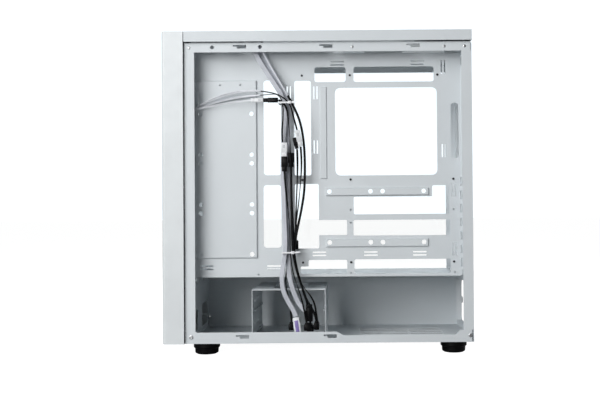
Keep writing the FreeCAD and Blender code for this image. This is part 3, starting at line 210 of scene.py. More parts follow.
def sheath(name, colour, roughness=0.45, braid=0.0, shine=0.5):
    """Flexible cable sheath, plain or braided."""
    tree, place = new_material(name)
    dull = noise(tree, place, 300.0, 3.0)
    normal = bump(tree, noise(tree, place, 2200.0, 2.0), 0.00005, 0.5)
    if braid:
        waves = []
        for lean in (1.0, -1.0):
            inputs = {"Scale": braid, "Vector": object_coordinates(tree, (1.0, lean, 1.0))}
            waves.append(add_node(tree, "TexWave", inputs, bands_direction="DIAGONAL").outputs["Fac"])
        normal = bump(tree, maths(tree, "MAXIMUM", *waves), 0.0002, 0.6, normal)
    finish_shader(tree, {
        "Base Color": mottled(tree, noise(tree, place, 60.0, 4.0), colour, 0.88, 1.08),
        "Roughness": remap(tree, dull, 0.3, 0.7, roughness - 0.1, roughness + 0.12),
        "Normal": normal,
        "Specular IOR Level": shine,
    })


def woven_mesh(name, colour, pitch):
    """Nylon filter cloth: threads crossing over and under, with the gaps between them painted darker as
    shade.
    """
    tree, place = new_material(name)
    threads = [
        add_node(tree, "TexWave", {"Scale": math.pi / (10.0 * pitch), "Vector": place},
                 bands_direction=axis).outputs["Fac"]
        for axis in ("X", "Y", "Z")]
    height = maths(tree, "MAXIMUM", maths(tree, "MAXIMUM", *threads[:2]), threads[2])
    tinted = mottled(tree, noise(tree, place, 30.0, 4.0), colour, 0.85, 1.05)
    # Painted shade: the colour darkens to about a third in the gaps between threads.
    gaps = remap(tree, height, 0.55, 0.85, 1.0, 0.0)
    finish_shader(tree, {
        "Base Color": blend_colours(tree, gaps, tinted, shade(colour, 0.35)),
        "Roughness": 0.65,
        "Normal": bump(tree, height, 0.0003, 0.8),
    })


def tempered_glass(name):
    """Clear glass with a trace of dust and a fingerprint's dulling."""
    tree, place = new_material(name)
    haze = noise(tree, place, 18.0, 5.0, 0.65)
    finish_shader(tree, {
        "Base Color": (0.985, 0.995, 0.992, 1.0),
        "Transmission Weight": 1.0,
        "IOR": 1.46,
        "Roughness": remap(tree, haze, 0.55, 0.8, 0.0, 0.035),
    })


def solder_mask(name):
    """Dark circuit board with faint copper tracks under the lacquer."""
    tree, place = new_material(name)
    tracks = add_node(tree, "TexBrick", {
        "Scale": 160.0,
        "Mortar Size": 0.06,
        "Color1": (0.010, 0.035, 0.022, 1.0),
        "Color2": (0.012, 0.045, 0.028, 1.0),
        "Mortar": (0.030, 0.085, 0.045, 1.0),
        "Vector": place,
    })
    finish_shader(tree, {
        "Base Color": tracks.outputs["Color"],
        "Roughness": remap(tree, noise(tree, place, 90.0), 0.3, 0.7, 0.22, 0.36),
        "Normal": bump(tree, tracks.outputs["Fac"], 0.00004, 0.6),
    })


WHITE = (0.66, 0.70, 0.725)
SOFT_BLACK = (0.002, 0.0022, 0.003)
SMALL_TEXTURE = 1300.0

powder_coat("steel_white", WHITE)
powder_coat("mesh_white", WHITE, 1800.0, 0.5)
powder_coat("screw_white", shade(WHITE, 1.04), 2200.0, 0.42, 0.6)
moulded_plastic("plastic_white", (0.70, 0.735, 0.75), 0.40)
moulded_plastic("fan_white", (0.74, 0.76, 0.77), 0.38)
moulded_plastic("foot_black", (0.002, 0.002, 0.0025), 0.36, worn=0.5, shine=0.12)
moulded_plastic("button_grey", (0.50, 0.53, 0.55), 0.30)
moulded_plastic("plug_black", SOFT_BLACK, 0.36, SMALL_TEXTURE, shine=0.14)
moulded_plastic("plug_white", (0.78, 0.80, 0.82), 0.32, SMALL_TEXTURE)
moulded_plastic("tie_white", (0.80, 0.81, 0.83), 0.34, SMALL_TEXTURE)
moulded_plastic("insert_violet", (0.24, 0.19, 0.46), 0.30, SMALL_TEXTURE)
# Grey painted shade for the contact windows of white fan plugs.
moulded_plastic("window_shade_grey", (0.34, 0.36, 0.39), 0.40, SMALL_TEXTURE)
# Near black: the colour of the jack, the switches and other black parts, and also painted shade in pin
# holes, contact slots and contact windows.
moulded_plastic("socket_dark", (0.01, 0.01, 0.011), 0.35, SMALL_TEXTURE, shine=0.3)
plated_metal("screw_steel", (0.60, 0.61, 0.62))
plated_metal("standoff_steel", (0.055, 0.055, 0.060), 0.42)
plated_metal("contact_gold", (0.80, 0.60, 0.28), 0.22)
plated_metal("shell_steel", (0.68, 0.69, 0.70), 0.24)
sheath("pad_rubber", (0.03, 0.03, 0.03), 0.8)
sheath("cable_light", (0.55, 0.57, 0.62), 0.42)
sheath("cable_white", (0.74, 0.76, 0.80), 0.42, 320.0)
sheath("cable_black", SOFT_BLACK, 0.40, shine=0.14)
woven_mesh("filter_mesh", (0.40, 0.42, 0.44), 0.0009)
tempered_glass("glass_clear")
solder_mask("circuit_board")


# Mesh helpers

def to_mesh(part, name):
    mesh = bpy.data.meshes.new(name)
    part.to_mesh(mesh)
    part.free()
    return mesh


def add_piece(mesh, materials, body, stands_for):
    """Adds a piece named as its mesh, on its body, in place of the CAD nodes it stands for."""
    thing = bpy.data.objects.new(mesh.name, mesh)
    scene.collection.objects.link(thing)
    for key in materials:
        mesh.materials.append(MATERIALS[key])
    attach(thing, body)
    if stands_for:
        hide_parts(*stands_for)
    return thing


def circle(radius, steps=16, start=0.0):
    """Points round a circle. start moves them along it, as a share of one step."""
    angles = [2 * math.pi * (i + start) / steps for i in range(steps)]
    return [(radius * math.cos(angle), radius * math.sin(angle)) for angle in angles]


def join_rings(part, lower, upper, material=0):
    """Faces between two closed rings that have as many points as each other."""
    for i in range(len(lower)):
        j = (i + 1) % len(lower)
        part.faces.new((lower[i], lower[j], upper[j], upper[i])).material_index = material


def face_outward(part):
    bmesh.ops.recalc_face_normals(part, faces=part.faces[:])


def stand_on(part, centre, axis):
    """Moves a part made round the Z axis so that it starts at centre and points along axis."""
    part.transform(UP.rotation_difference(Vector(axis)).to_matrix().to_4x4())
    part.transform(Matrix.Translation(centre))


class Build:
    """Collects bevelled solids and sweeps in one mesh, each with its own material index."""

    def __init__(self):
        self.bm = bmesh.new()

    def take(self, part, material=None, turn=None):
        if material is not None:
            for face in part.faces:
                face.material_index = material
        if turn is not None:
            part.transform(turn)
        spare = to_mesh(part, "spare")
        self.bm.from_mesh(spare)
        bpy.data.meshes.remove(spare)

    def block(self, centre, size, radius=0.0003, material=0, turn=None, segments=2):
        part = bmesh.new()
        bmesh.ops.create_cube(part, size=1.0)
        part.transform(Matrix.Translation(centre) @ Matrix.Diagonal((*size, 1.0)))
        if radius:
            bmesh.ops.bevel(part, geom=part.edges[:], offset=radius, segments=segments,
                            affect="EDGES", profile=0.5)
        self.take(part, material, turn)

    def turned(self, centre, axis, profile, material=0, steps=32):
        """A closed solid of revolution: profile is (radius, height) from one end to the other."""
        part = bmesh.new()
        rings = []
        for radius, height in profile:
            on_axis = radius < 1e-7
            points = [(0.0, 0.0)] if on_axis else circle(radius, steps)
            rings.append([part.verts.new((u, v, height)) for u, v in points])
        for lower, upper in zip(rings, rings[1:]):
            for i in range(steps):
                j = (i + 1) % steps
                corners = [lower[i % len(lower)], lower[j % len(lower)],
                           upper[j % len(upper)], upper[i % len(upper)]]
                unique = list(dict.fromkeys(corners))
                if len(unique) > 2:
                    part.faces.new(unique)
        face_outward(part)
        stand_on(part, centre, axis)
        self.take(part, material)

    def sweep(self, line, section, wide, twist=None, change=0):
        """Sweeps a closed section along a line. wide(tangent) gives the section's first axis.

        Up to the point numbered change, the faces take the second material.
        """
        part = bmesh.new()
        rings = []
        for i, point in enumerate(line):
            before, after = line[max(i - 1, 0)], line[min(i + 1, len(line) - 1)]
            tangent = (after - before).normalized()
            across = wide(tangent).normalized()
            out = tangent.cross(across).normalized()
            angle = twist(i / (len(line) - 1)) if twist else 0.0
            a = across * math.cos(angle) + out * math.sin(angle)
            b = out * math.cos(angle) - across * math.sin(angle)
            rings.append([part.verts.new(point + a * u + b * v) for u, v in section])
        for step, (lower, upper) in enumerate(zip(rings, rings[1:])):
            join_rings(part, lower, upper, 1 if step < change else 0)
        part.faces.new(rings[0][::-1])
        part.faces.new(rings[-1])
        face_outward(part)
        self.take(part)

    def finish(self, name, materials, stands_for=(), degrees=35.0):
        mesh = to_mesh(self.bm, name)
        mesh.shade_smooth()
        mesh.set_sharp_from_angle(angle=math.radians(degrees))
        return add_piece(mesh, materials, "root", stands_for)


def ribbon(width, count, steps=8):
    """The outline of a flat cable: round wires side by side, webbed together."""
    radius = width / (2 * count)
    centres = [-width / 2 + radius * (2 * i + 1) for i in range(count)]
    lean = 0.22 * math.pi
    outline = []
    for top in (1, -1):
        order = centres if top < 0 else centres[::-1]
        for k, centre in enumerate(order):
            first = 0.0 if k == 0 else lean
            last = math.pi if k == count - 1 else math.pi - lean
            for i in range(steps + 1):
                angle = first + (last - first) * i / steps
                if top < 0:
                    angle += math.pi
                outline.append((centre + radius * math.cos(angle), radius * math.sin(angle)))
    return [p for i, p in enumerate(outline) if math.dist(p, outline[i - 1]) > 1e-6]


def ribbed_strip(width, thick, ribs):
    """The outline of a flat sheath with shallow ribs along both faces and rounded edges."""
    outline = []
    half = width / 2 - thick / 2
    steps = ribs * 4
    for side in (1, -1):
        for i in range(steps + 1):
            u = half - 2 * half * i / steps
            height = thick / 2 * (0.80 + 0.20 * abs(math.cos(math.pi * ribs * i / steps)))
            outline.append((side * u, side * height))
        for i in range(1, 6):
            angle = math.pi / 2 + math.pi * i / 6
            if side < 0:
                angle += math.pi
            outline.append((-side * half + thick / 2 * math.cos(angle), thick / 2 * math.sin(angle)))
    return outline


def route_line(points, resolution=10):
    """Points along the smooth line that a route's points pull on."""
    curve = bpy.data.curves.new("route", "CURVE")
    curve.dimensions = "3D"
    curve.resolution_u = resolution
    spline = curve.splines.new("NURBS")
    spline.points.add(len(points) - 1)
    for control, place in zip(spline.points, points):
        control.co = (*place, 1.0)
    spline.order_u = 3
    spline.use_endpoint_u = True
    holder = bpy.data.objects.new("route", curve)
    mesh = bpy.data.meshes.new_from_object(holder)
    line = [v.co.copy() for v in mesh.vertices]
    bpy.data.meshes.remove(mesh)
    bpy.data.objects.remove(holder)
    bpy.data.curves.remove(curve)
    return line


def facing_side(tangent):
    """The direction across a cable that keeps its wide face toward the open side."""
    return tangent.cross(Vector((1.0, 0.0, 0.0)))


# Cables. Each route repeats the CAD's own points.

ROUTES = {
    "type_c_cable": [
        (0.092, -0.104, 0.461), (0.092, -0.093, 0.441), (0.092, -0.080, 0.420),
        (0.092, -0.067, 0.400), (0.092, -0.055, 0.381), (0.092, -0.0515, 0.357),
        (0.0915, -0.0545, 0.324), (0.091, -0.056, 0.287), (0.091, -0.0558, 0.248),
        (0.091, -0.0545, 0.211), (0.091, -0.0532, 0.178), (0.091, -0.0528, 0.151),
        (0.092, -0.0568, 0.129), (0.093, -0.059, 0.109), (0.093, -0.056, 0.091),
        (0.093, -0.048, 0.075), (0.0925, -0.0408, 0.0634), (0.0925, -0.038, 0.0552),
    ],
    "usb_cable": [
        (0.084, -0.097, 0.461), (0.084, -0.086, 0.441), (0.084, -0.073, 0.421),
        (0.084, -0.0615, 0.402), (0.084, -0.051, 0.382), (0.084, -0.0475, 0.358),
        (0.084, -0.0487, 0.322), (0.084, -0.0492, 0.284), (0.084, -0.0494, 0.246),
        (0.084, -0.0498, 0.210), (0.084, -0.0498, 0.178), (0.084, -0.0494, 0.150),
        (0.087, -0.0492, 0.127), (0.089, -0.046, 0.106), (0.0895, -0.0398, 0.087),
        (0.0895, -0.0328, 0.0715), (0.0895, -0.0246, 0.0634),
    ],
    "audio_cable": [
        (0.091, -0.0905, 0.461), (0.092, -0.078, 0.436), (0.094, -0.063, 0.410),
        (0.0964, -0.049, 0.386), (0.0964, -0.0385, 0.366), (0.0962, -0.0295, 0.345),
        (0.096, -0.0248, 0.320), (0.0945, -0.023, 0.294), (0.0935, -0.023, 0.268),
        (0.093, -0.024, 0.240), (0.0935, -0.0285, 0.213), (0.0938, -0.0332, 0.192),
        (0.0935, -0.0375, 0.171), (0.0924, -0.0403, 0.150), (0.0935, -0.0365, 0.127),
        (0.094, -0.0302, 0.104), (0.088, -0.0254, 0.088), (0.0808, -0.021, 0.0726),
        (0.0795, -0.0176, 0.057), (0.0795, -0.017, 0.0432),
    ],
    "switch_cable": [
        (0.0785, -0.099, 0.461), (0.0785, -0.086, 0.438), (0.0785, -0.072, 0.414),
        (0.0785, -0.0595, 0.391), (0.0785, -0.054, 0.366), (0.0784, -0.055, 0.334),
        (0.0782, -0.0556, 0.298), (0.078, -0.0554, 0.262), (0.0778, -0.0538, 0.226),
        (0.0778, -0.0508, 0.192), (0.0784, -0.0474, 0.166), (0.0794, -0.047, 0.144),
        (0.0804, -0.0516, 0.127), (0.0846, -0.0534, 0.112), (0.0868, -0.0524, 0.097),
        (0.0866, -0.0488, 0.080), (0.0854, -0.0454, 0.063), (0.0854, -0.045, 0.0462),
    ],
    "fan_lead_1": [
        (0.084, -0.1996, 0.361), (0.084, -0.181, 0.371), (0.0845, -0.160, 0.3805),
        (0.085, -0.138, 0.3875), (0.086, -0.115, 0.3915), (0.089, -0.093, 0.3913),
        (0.0925, -0.074, 0.3885), (0.0973, -0.058, 0.383), (0.0988, -0.044, 0.371),
        (0.0964, -0.0396, 0.3525), (0.0916, -0.0363, 0.340), (0.0892, -0.0346, 0.3324),
    ],
    "fan_lead_2": [
        (0.080, -0.1996, 0.360), (0.080, -0.181, 0.3685), (0.080, -0.160, 0.375),
        (0.0806, -0.138, 0.380), (0.0825, -0.115, 0.383), (0.0875, -0.093, 0.3846),
        (0.094, -0.076, 0.385), (0.0994, -0.062, 0.385), (0.1012, -0.054, 0.372),
        (0.101, -0.0546, 0.345), (0.0994, -0.0566, 0.328), (0.098, -0.0556, 0.3132),
    ],
    "fan_lead_3": [
        (0.088, -0.1996, 0.3596), (0.088, -0.181, 0.3654), (0.0886, -0.160, 0.3696),
        (0.090, -0.139, 0.373), (0.0928, -0.119, 0.3752), (0.0968, -0.1024, 0.3762),
    ],
    "splitter_wire_1": [
        (0.089, -0.0294, 0.3074), (0.089, -0.0283, 0.295), (0.090, -0.0282, 0.274),
        (0.091, -0.030, 0.250), (0.0906, -0.0324, 0.226), (0.0892, -0.0358, 0.202),
        (0.088, -0.039, 0.176), (0.0876, -0.041, 0.150), (0.0884, -0.0382, 0.128),
        (0.0886, -0.0322, 0.108), (0.0886, -0.0234, 0.094), (0.0886, -0.014, 0.0825),
        (0.088, -0.0084, 0.068), (0.087, -0.007, 0.0482),
    ],
    "splitter_wire_2": [
        (0.083, -0.035, 0.3042), (0.083, -0.0344, 0.288), (0.083, -0.0348, 0.264),
        (0.083, -0.036, 0.238), (0.0828, -0.0373, 0.212), (0.0826, -0.0376, 0.189),
        (0.0824, -0.0376, 0.1682),
    ],
    "splitter_wire_3": [
        (0.098, -0.053, 0.270), (0.0978, -0.0524, 0.256), (0.097, -0.0504, 0.236),
        (0.0958, -0.048, 0.213), (0.0952, -0.0464, 0.191), (0.0948, -0.0457, 0.170),
        (0.0946, -0.0455, 0.150), (0.0958, -0.0432, 0.128), (0.097, -0.0376, 0.107),
        (0.0976, -0.031, 0.089), (0.0986, -0.027, 0.073), (0.0988, -0.0236, 0.059),
        (0.0973, -0.0218, 0.0466),
    ],
    "splitter_wire_4": [
        (0.092, -0.0433, 0.277), (0.092, -0.0433, 0.262), (0.0905, -0.0432, 0.240),
        (0.087, -0.0424, 0.214), (0.083, -0.0418, 0.190), (0.0804, -0.0417, 0.1682),
    ],
    "splitter_wire_5": [
        (0.0968, -0.0613, 0.3762), (0.0976, -0.054, 0.373), (0.0979, -0.0486, 0.362),
        (0.0977, -0.0464, 0.343), (0.0974, -0.0449, 0.320), (0.0976, -0.044, 0.296),
        (0.0978, -0.0438, 0.270), (0.0978, -0.0436, 0.242), (0.0978, -0.0432, 0.214),
        (0.098, -0.0426, 0.188), (0.0982, -0.0421, 0.166), (0.0982, -0.0416, 0.149),
        (0.0992, -0.038, 0.128), (0.100, -0.032, 0.107), (0.1002, -0.0246, 0.088),
        (0.0996, -0.0164, 0.072), (0.0974, -0.0096, 0.060), (0.096, -0.0074, 0.0484),
    ],
}
LINES = {name: route_line(points) for name, points in ROUTES.items()}

# Diameter or width, real length, outline, material and slow turns along the length.
CABLE_LOOKS = {
    "type_c_cable": (0.0070, 0.425, ribbed_strip(0.0070, 0.0026, 5), "cable_light", 0.25),
    "usb_cable": (0.0070, 0.416, ribbed_strip(0.0070, 0.0026, 5), "cable_light", -0.2),
    "audio_cable": (0.0036, 0.440, circle(0.0018, 14), "cable_black", 0.0),
    "switch_cable": (0.0030, 0.428, ribbon(0.0030, 2), "cable_black", 3.0),
    "fan_lead_1": (0.0026, 0.208, ribbon(0.0026, 3), "cable_black", 1.2),
    "fan_lead_2": (0.0026, 0.217, ribbon(0.0026, 3), "cable_black", -1.6),
    "fan_lead_3": (0.0026, 0.100, ribbon(0.0026, 3), "cable_white", 0.6),
    **{f"splitter_wire_{number}": (0.0032, length, ribbon(0.0032, 3), "cable_black", turns)
       for number, length, turns in ((1, 0.268, 2.2), (2, 0.136, -1.2), (3, 0.227, 1.8),
                                     (4, 0.110, -0.9), (5, 0.340, -2.6))},
}

# Black cables that start with a pale covering: its material, and which points it reaches.
SLEEVE_START_Y = -0.089
KNOT_Z = 0.384
BARE_WIRES = ("cable_white", lambda point: point.y < SLEEVE_START_Y)
PALE_COVER = ("cable_light", lambda point: point.z > KNOT_Z)
PALE_PARTS = {"fan_lead_1": BARE_WIRES, "fan_lead_2": BARE_WIRES,
              "audio_cable": PALE_COVER, "switch_cable": PALE_COVER}
CABLE_SMOOTH_BELOW = 60.0


def pale_count(name):
    """How many points at the start of a black cable still have their pale covering."""
    if name not in PALE_PARTS:
        return 0
    return sum(1 for point in LINES[name] if PALE_PARTS[name][1](point))


def make_cables():
    made = {}
    for name, (_, _, outline, look, turns) in CABLE_LOOKS.items():
        build = Build()
        build.sweep(LINES[name], outline, facing_side, change=pale_count(name),
                    twist=lambda share, turns=turns: turns * math.sin(math.pi * share))
        looks = [look] + ([PALE_PARTS[name][0]] if name in PALE_PARTS else [])
        made[name] = build.finish(name + "_sheath", looks, stands_for=[name],
                                  degrees=CABLE_SMOOTH_BELOW)
    return made


cables = make_cables()


# Plugs, sockets and ties on the cables

# Each fan plug's own colour, and the painted shade of its contact windows: grey on white plugs, near
# black on black plugs.
LEAD_PLUG_LOOKS = {
    "fan_plugs": ("plug_white", "window_shade_grey"),
    "splitter_sockets": ("plug_black", "socket_dark"),
}
LEAD_CONTACTS = 4
HEADER_PITCH = 0.0025
FINGER_RIBS = 3
TIE_STEPS = 120


def leaning(centre, degrees):
    place = Matrix.Translation(centre)
    return place @ Matrix.Rotation(math.radians(degrees), 4, "X") @ place.inverted()


def lead_plug(name, node, centre, size, degrees=0.0, along="Z"):
    """A small fan connector: a body, a stepped nose, side keys and a row of contact windows, which are
    flat slabs painted as shade in the openings, grey on white plugs and near black on black plugs.
    """
    turn = leaning(centre, degrees)
    order = (0, 1, 2) if along == "Z" else (0, 2, 1)
    width, across, length = [size[i] for i in order]
    build = Build()

    def put(offset, extent, radius, material=0):
        place = [c + offset[i] for c, i in zip(centre, order)]
        build.block(place, [extent[i] for i in order], radius, material, turn)

    body = length * 0.70
    put((0, 0, length * 0.15), (width * 0.86, across * 0.96, body), 0.0005)
    put((0, 0, -length * 0.32), (width * 0.70, across * 0.80, length * 0.36), 0.0004)
    put((0, 0, length * 0.46), (width * 0.62, across * 0.86, length * 0.08), 0.0003)
    for side in (-1, 1):
        put((width * 0.44, side * across * 0.30, length * 0.06),
            (width * 0.10, across * 0.10, body * 0.8), 0.0002)
    pitch = across * 0.78 / LEAD_CONTACTS
    for i in range(LEAD_CONTACTS):
        shift = (i - (LEAD_CONTACTS - 1) / 2) * pitch
        # Contact windows and the nose's contact openings: thin slabs painted as shade in the openings.
        put((width * 0.425, shift, length * 0.22), (width * 0.04, pitch * 0.42, body * 0.34), 0.0, 1)
        put((0, shift, -length * 0.475), (width * 0.34, pitch * 0.62, length * 0.05), 0.0002, 2)
    for i in range(3):
        put((width * 0.44, 0, length * (0.40 - 0.035 * i)),
            (width * 0.05, across * 0.7, length * 0.012), 0.0)
    look, window = LEAD_PLUG_LOOKS[node]
    return build.finish(name, [look, window, "socket_dark"], stands_for=[node])


def board_plug(name, low, high, columns, rows):
    """A black header plug: finger ribs on its sides, a cable collar and, below, pin holes drawn as dark
    blocks of painted shade.
    """
    x, y, z = [(a + b) / 2 for a, b in zip(low, high)]
    wide, deep, tall = [b - a for a, b in zip(low, high)]
    build = Build()
    build.block((x, y, z - tall * 0.10), (wide * 0.96, deep * 0.96, tall * 0.78), 0.0005)
    build.block((x, y, z + tall * 0.39), (wide * 0.66, deep * 0.72, tall * 0.22), 0.0008, segments=3)
    for i in range(FINGER_RIBS):
        place = (x, y, z + tall * (0.20 - 0.13 * i))
        build.block(place, (wide, deep * 0.72, tall * 0.045), 0.0002)
        build.block(place, (wide * 0.6, deep, tall * 0.045), 0.0002)
    for i in range(columns):
        for j in range(rows):
            place = (x + (j - (rows - 1) / 2) * HEADER_PITCH, y + (i - (columns - 1) / 2) * HEADER_PITCH,
                     low[2] + tall * 0.012)
            # Pin holes: tiny near-black blocks, painted shade in the holes.
            build.block(place, (0.0011, 0.0011, tall * 0.02), 0.0, 1)
    return build.finish(name, ["plug_black", "socket_dark"],
                        stands_for=["header_plugs"])


def make_usb_plug():
    """The tall board plug: body, polarising rib, side grips and a stepped collar for its cable."""
    x, y = 0.0900, -0.01805
    build = Build()
    build.block((x, y, 0.05775), (0.0106, 0.0104, 0.0199), 0.0007, segments=3)
    build.block((x, -0.0184, 0.0698), (0.0090, 0.0090, 0.0058), 0.0012, segments=3)
    build.block((x, -0.0222, 0.0640), (0.0068, 0.0024, 0.0072), 0.0008, segments=3)
    build.block((0.0961, y, 0.0600), (0.0016, 0.0027, 0.0150), 0.0003)
    for i in range(5):
        build.block((x, y, 0.0512 + 0.0024 * i), (0.0110, 0.0108, 0.0009), 0.0002)
    # Pin holes under the plug: tiny near-black blocks, painted shade in the holes.
    for i in range(9):
        for pin_x in (0.0888, 0.0912):
            build.block((pin_x, -0.0222 + 0.0010 * i, 0.04775), (0.0009, 0.0006, 0.0003), 0.0, 1)
    return build.finish("usb_plug_body", ["plug_black", "socket_dark"],
                        stands_for=["usb_plug"])


def make_type_c_plug():
    """A pale shell round a violet insert, with its contact slot drawn as a thin dark block of painted
    shade.
    """
    centre = (0.0925, -0.0364, 0.0422)
    turn = leaning(centre, 8.0)
    x, y, z = centre
    build = Build()
    build.block((x, y, z), (0.0060, 0.0098, 0.0222), 0.0009, 0, turn, 3)
    build.block((x, y, z + 0.0112), (0.0044, 0.0070, 0.0010), 0.0004, 0, turn)
    for side in (-1, 1):
        build.block((x, y + side * 0.0049, z - 0.0030), (0.0050, 0.0004, 0.0120), 0.0001, 0, turn)
    build.block((x + 0.0029, y, z - 0.0014), (0.0006, 0.0054, 0.0172), 0.0002, 1, turn)
    for i in range(6):
        build.block((x + 0.0031, y, z + 0.0054 - 0.0026 * i), (0.0003, 0.0044, 0.0008), 0.0001, 1, turn)
    # The contact slot: a thin near-black block, painted shade in the opening.
    build.block((x, y, z - 0.0112), (0.0016, 0.0056, 0.0006), 0.0001, 2, turn)
    return build.finish("type_c_plug_body", ["plug_white", "insert_violet", "socket_dark"],
                        stands_for=["type_c_plug"])


def make_splitter_block():
    """The moulded block where the splitter's wires join, with ribs and a boot for each upper wire."""
    build = Build()
    x, y, z = 0.0814, -0.0389, 0.161
    build.block((x, y, z), (0.0078, 0.0096, 0.0136), 0.0014, 0, None, 4)
    for i in range(4):
        build.block((x, y, z + 0.0045 - 0.003 * i), (0.0080, 0.0098, 0.0008), 0.0003)
    for top_y in (-0.0376, -0.0417):
        build.turned((0.0818, top_y, z + 0.0062), UP,
                     [(0, 0), (0.0022, 0), (0.0019, 0.0008), (0, 0.0008)])
    return build.finish("splitter_block", ["plug_black"],
                        stands_for=["splitter_sockets"])


def make_tie(name, centre, half):
    """A nylon cable tie: a toothed strap, its ratchet head and a trimmed tail."""
    x, y, z = centre
    head_y = y + 0.0055
    power = 2 / 5.0
    build = Build()
    line = []
    for i in range(TIE_STEPS + 1):
        angle = 2 * math.pi * i / TIE_STEPS
        c, s = math.cos(angle), math.sin(angle)
        line.append(Vector((x + half[0] * math.copysign(abs(c) ** power, c),
                            y + half[1] * math.copysign(abs(s) ** power, s), z)))
    part = bmesh.new()
    rings = []
    for i, point in enumerate(line[:-1]):
        tangent = (line[(i + 1) % TIE_STEPS] - line[i - 1]).normalized()
        out = tangent.cross(UP)
        tooth = 0.00018 * (i % 2)
        section = ((-0.0003, -0.00125), (0.0003 + tooth, -0.00105),
                   (0.0003 + tooth, 0.00105), (-0.0003, 0.00125))
        rings.append([part.verts.new(point + out * u + Vector((0, 0, v))) for u, v in section])
    for i, lower in enumerate(rings):
        join_rings(part, lower, rings[(i + 1) % TIE_STEPS])
    face_outward(part)
    build.take(part, 0)
    build.block((x + half[0] + 0.0010, head_y, z), (0.0030, 0.0046, 0.0044), 0.0005, segments=3)
    build.block((x + half[0] + 0.0024, head_y, z), (0.0004, 0.0026, 0.0026), 0.0001)
    tail = [Vector((x + half[0] + 0.0009 + 0.0006 * k, head_y + 0.0022 + 0.0022 * k, z + 0.0003 * k))
            for k in range(5)]
    build.sweep(tail, [(-0.0011, -0.0003), (0.0011, -0.0003), (0.0011, 0.0003), (-0.0011, 0.0003)],
                lambda tangent: UP)
    return build.finish(name, ["tie_white"], stands_for=["cable_ties"])


def white_strands(lead, phases):
    """The white wires that a fan lead is made of, before its black sleeve starts."""
    line = LINES[lead][:pale_count(lead)]
    build = Build()
    for phase in phases:
        strand = []
        for i, point in enumerate(line):
            share = i / (len(line) - 1)
            swell = 0.0016 * (0.35 + 0.65 * math.sin(math.pi * share))
            angle = phase + 1.1 * share
            c, s = math.cos(angle), math.sin(angle)
            strand.append(point + Vector((c, 0.35 * s, s)) * swell)
        build.sweep(strand, circle(0.0008, 10), facing_side)
    return build.finish(lead + "_strands", ["cable_white"],
                        degrees=CABLE_SMOOTH_BELOW)


def socket(number, *shape):
    return lead_plug(f"splitter_socket_{number}", "splitter_sockets", *shape)


def fan_plug(number, *shape):
    return lead_plug(f"fan_plug_{number}", "fan_plugs", *shape)


def declare_cables():
    pieces = {
        "fan_lead_1": [
            fan_plug(1, (0.089, -0.0319, 0.320), (0.006, 0.008, 0.0244), 12),
            white_strands("fan_lead_1", (0.4, 2.5, 4.6)),
        ],
        "fan_lead_2": [
            fan_plug(2, (0.098, -0.0534, 0.3025), (0.006, 0.010, 0.0206)),
            white_strands("fan_lead_2", (0.9, 3.0, 5.1)),
        ],
        "fan_lead_3": [fan_plug(3, (0.0968, -0.0931, 0.3762), (0.006, 0.0182, 0.0066), 0, "Y")],
        "splitter_wire_5": [
            socket(5, (0.0968, -0.0729, 0.3762), (0.0068, 0.0218, 0.0070), 0, "Y"),
            board_plug("header_plug_5", (0.093, -0.0114, 0.036), (0.099, -0.0034, 0.048), 3, 1),
        ],
        "splitter_wire_1": [
            board_plug("header_plug_1", (0.084, -0.011, 0.036), (0.090, -0.0034, 0.048), 3, 1),
        ],
        "splitter_wire_2": [
            socket(2, (0.083, -0.037, 0.313), (0.006, 0.0066, 0.017), 12),
            make_splitter_block(),
        ],
        "splitter_wire_3": [
            socket(3, (0.098, -0.053, 0.2811), (0.006, 0.0094, 0.022)),
            board_plug("header_plug_3", (0.0906, -0.026, 0.034), (0.099, -0.0136, 0.046), 4, 2),
        ],
        "splitter_wire_4": [socket(4, (0.092, -0.0433, 0.2875), (0.006, 0.0094, 0.021))],
        "audio_cable": [board_plug("audio_plug", (0.076, -0.022, 0.031), (0.083, -0.012, 0.043), 4, 2)],
        "switch_cable": [
            board_plug("switch_plug", (0.0816, -0.0494, 0.034), (0.0886, -0.0408, 0.046), 3, 2),
        ],
        "usb_cable": [make_usb_plug()],
        "type_c_cable": [
            make_type_c_plug(),
            make_tie("cable_tie_low", (0.0888, -0.0468, 0.150), (0.0121, 0.0111)),
            make_tie("cable_tie_high", (0.0896, -0.0499, 0.372), (0.0135, 0.0113)),
        ],
    }


declare_cables()


# CAD nodes that keep their shape: softened edges and their finish

SHEET_EDGE = 0.00028


def dress(name, look, radius=0.0, segments=2, curved=True):
    """Gives a CAD node its material and, with a radius, rounded edges that catch the light.

    Sheet metal is all flat faces and small holes, so it isn't curved and keeps flat shading.
    """
    thing = nodes[name]
    thing.data.materials.clear()
    thing.data.materials.append(MATERIALS[look])
    if not radius:
        return
    add = thing.modifiers.new
    set_all(add("weld", "WELD"), merge_threshold=0.000004)
    set_all(add("whole_faces", "DECIMATE"), decimate_type="DISSOLVE", angle_limit=math.radians(0.5))
    set_all(add("rounded_edges", "BEVEL"), loop_slide=False, width=radius, segments=segments,
            limit_method="ANGLE", angle_limit=math.radians(40.0))
    bpy.context.view_layer.objects.active = thing
    bpy.ops.mesh.customdata_custom_splitnormals_clear()
    if not curved:
        thing.data.shade_flat()
        return
    thing.data.shade_smooth()
    set_all(add("flat_faces", "WEIGHTED_NORMAL"), mode="FACE_AREA", weight=100)


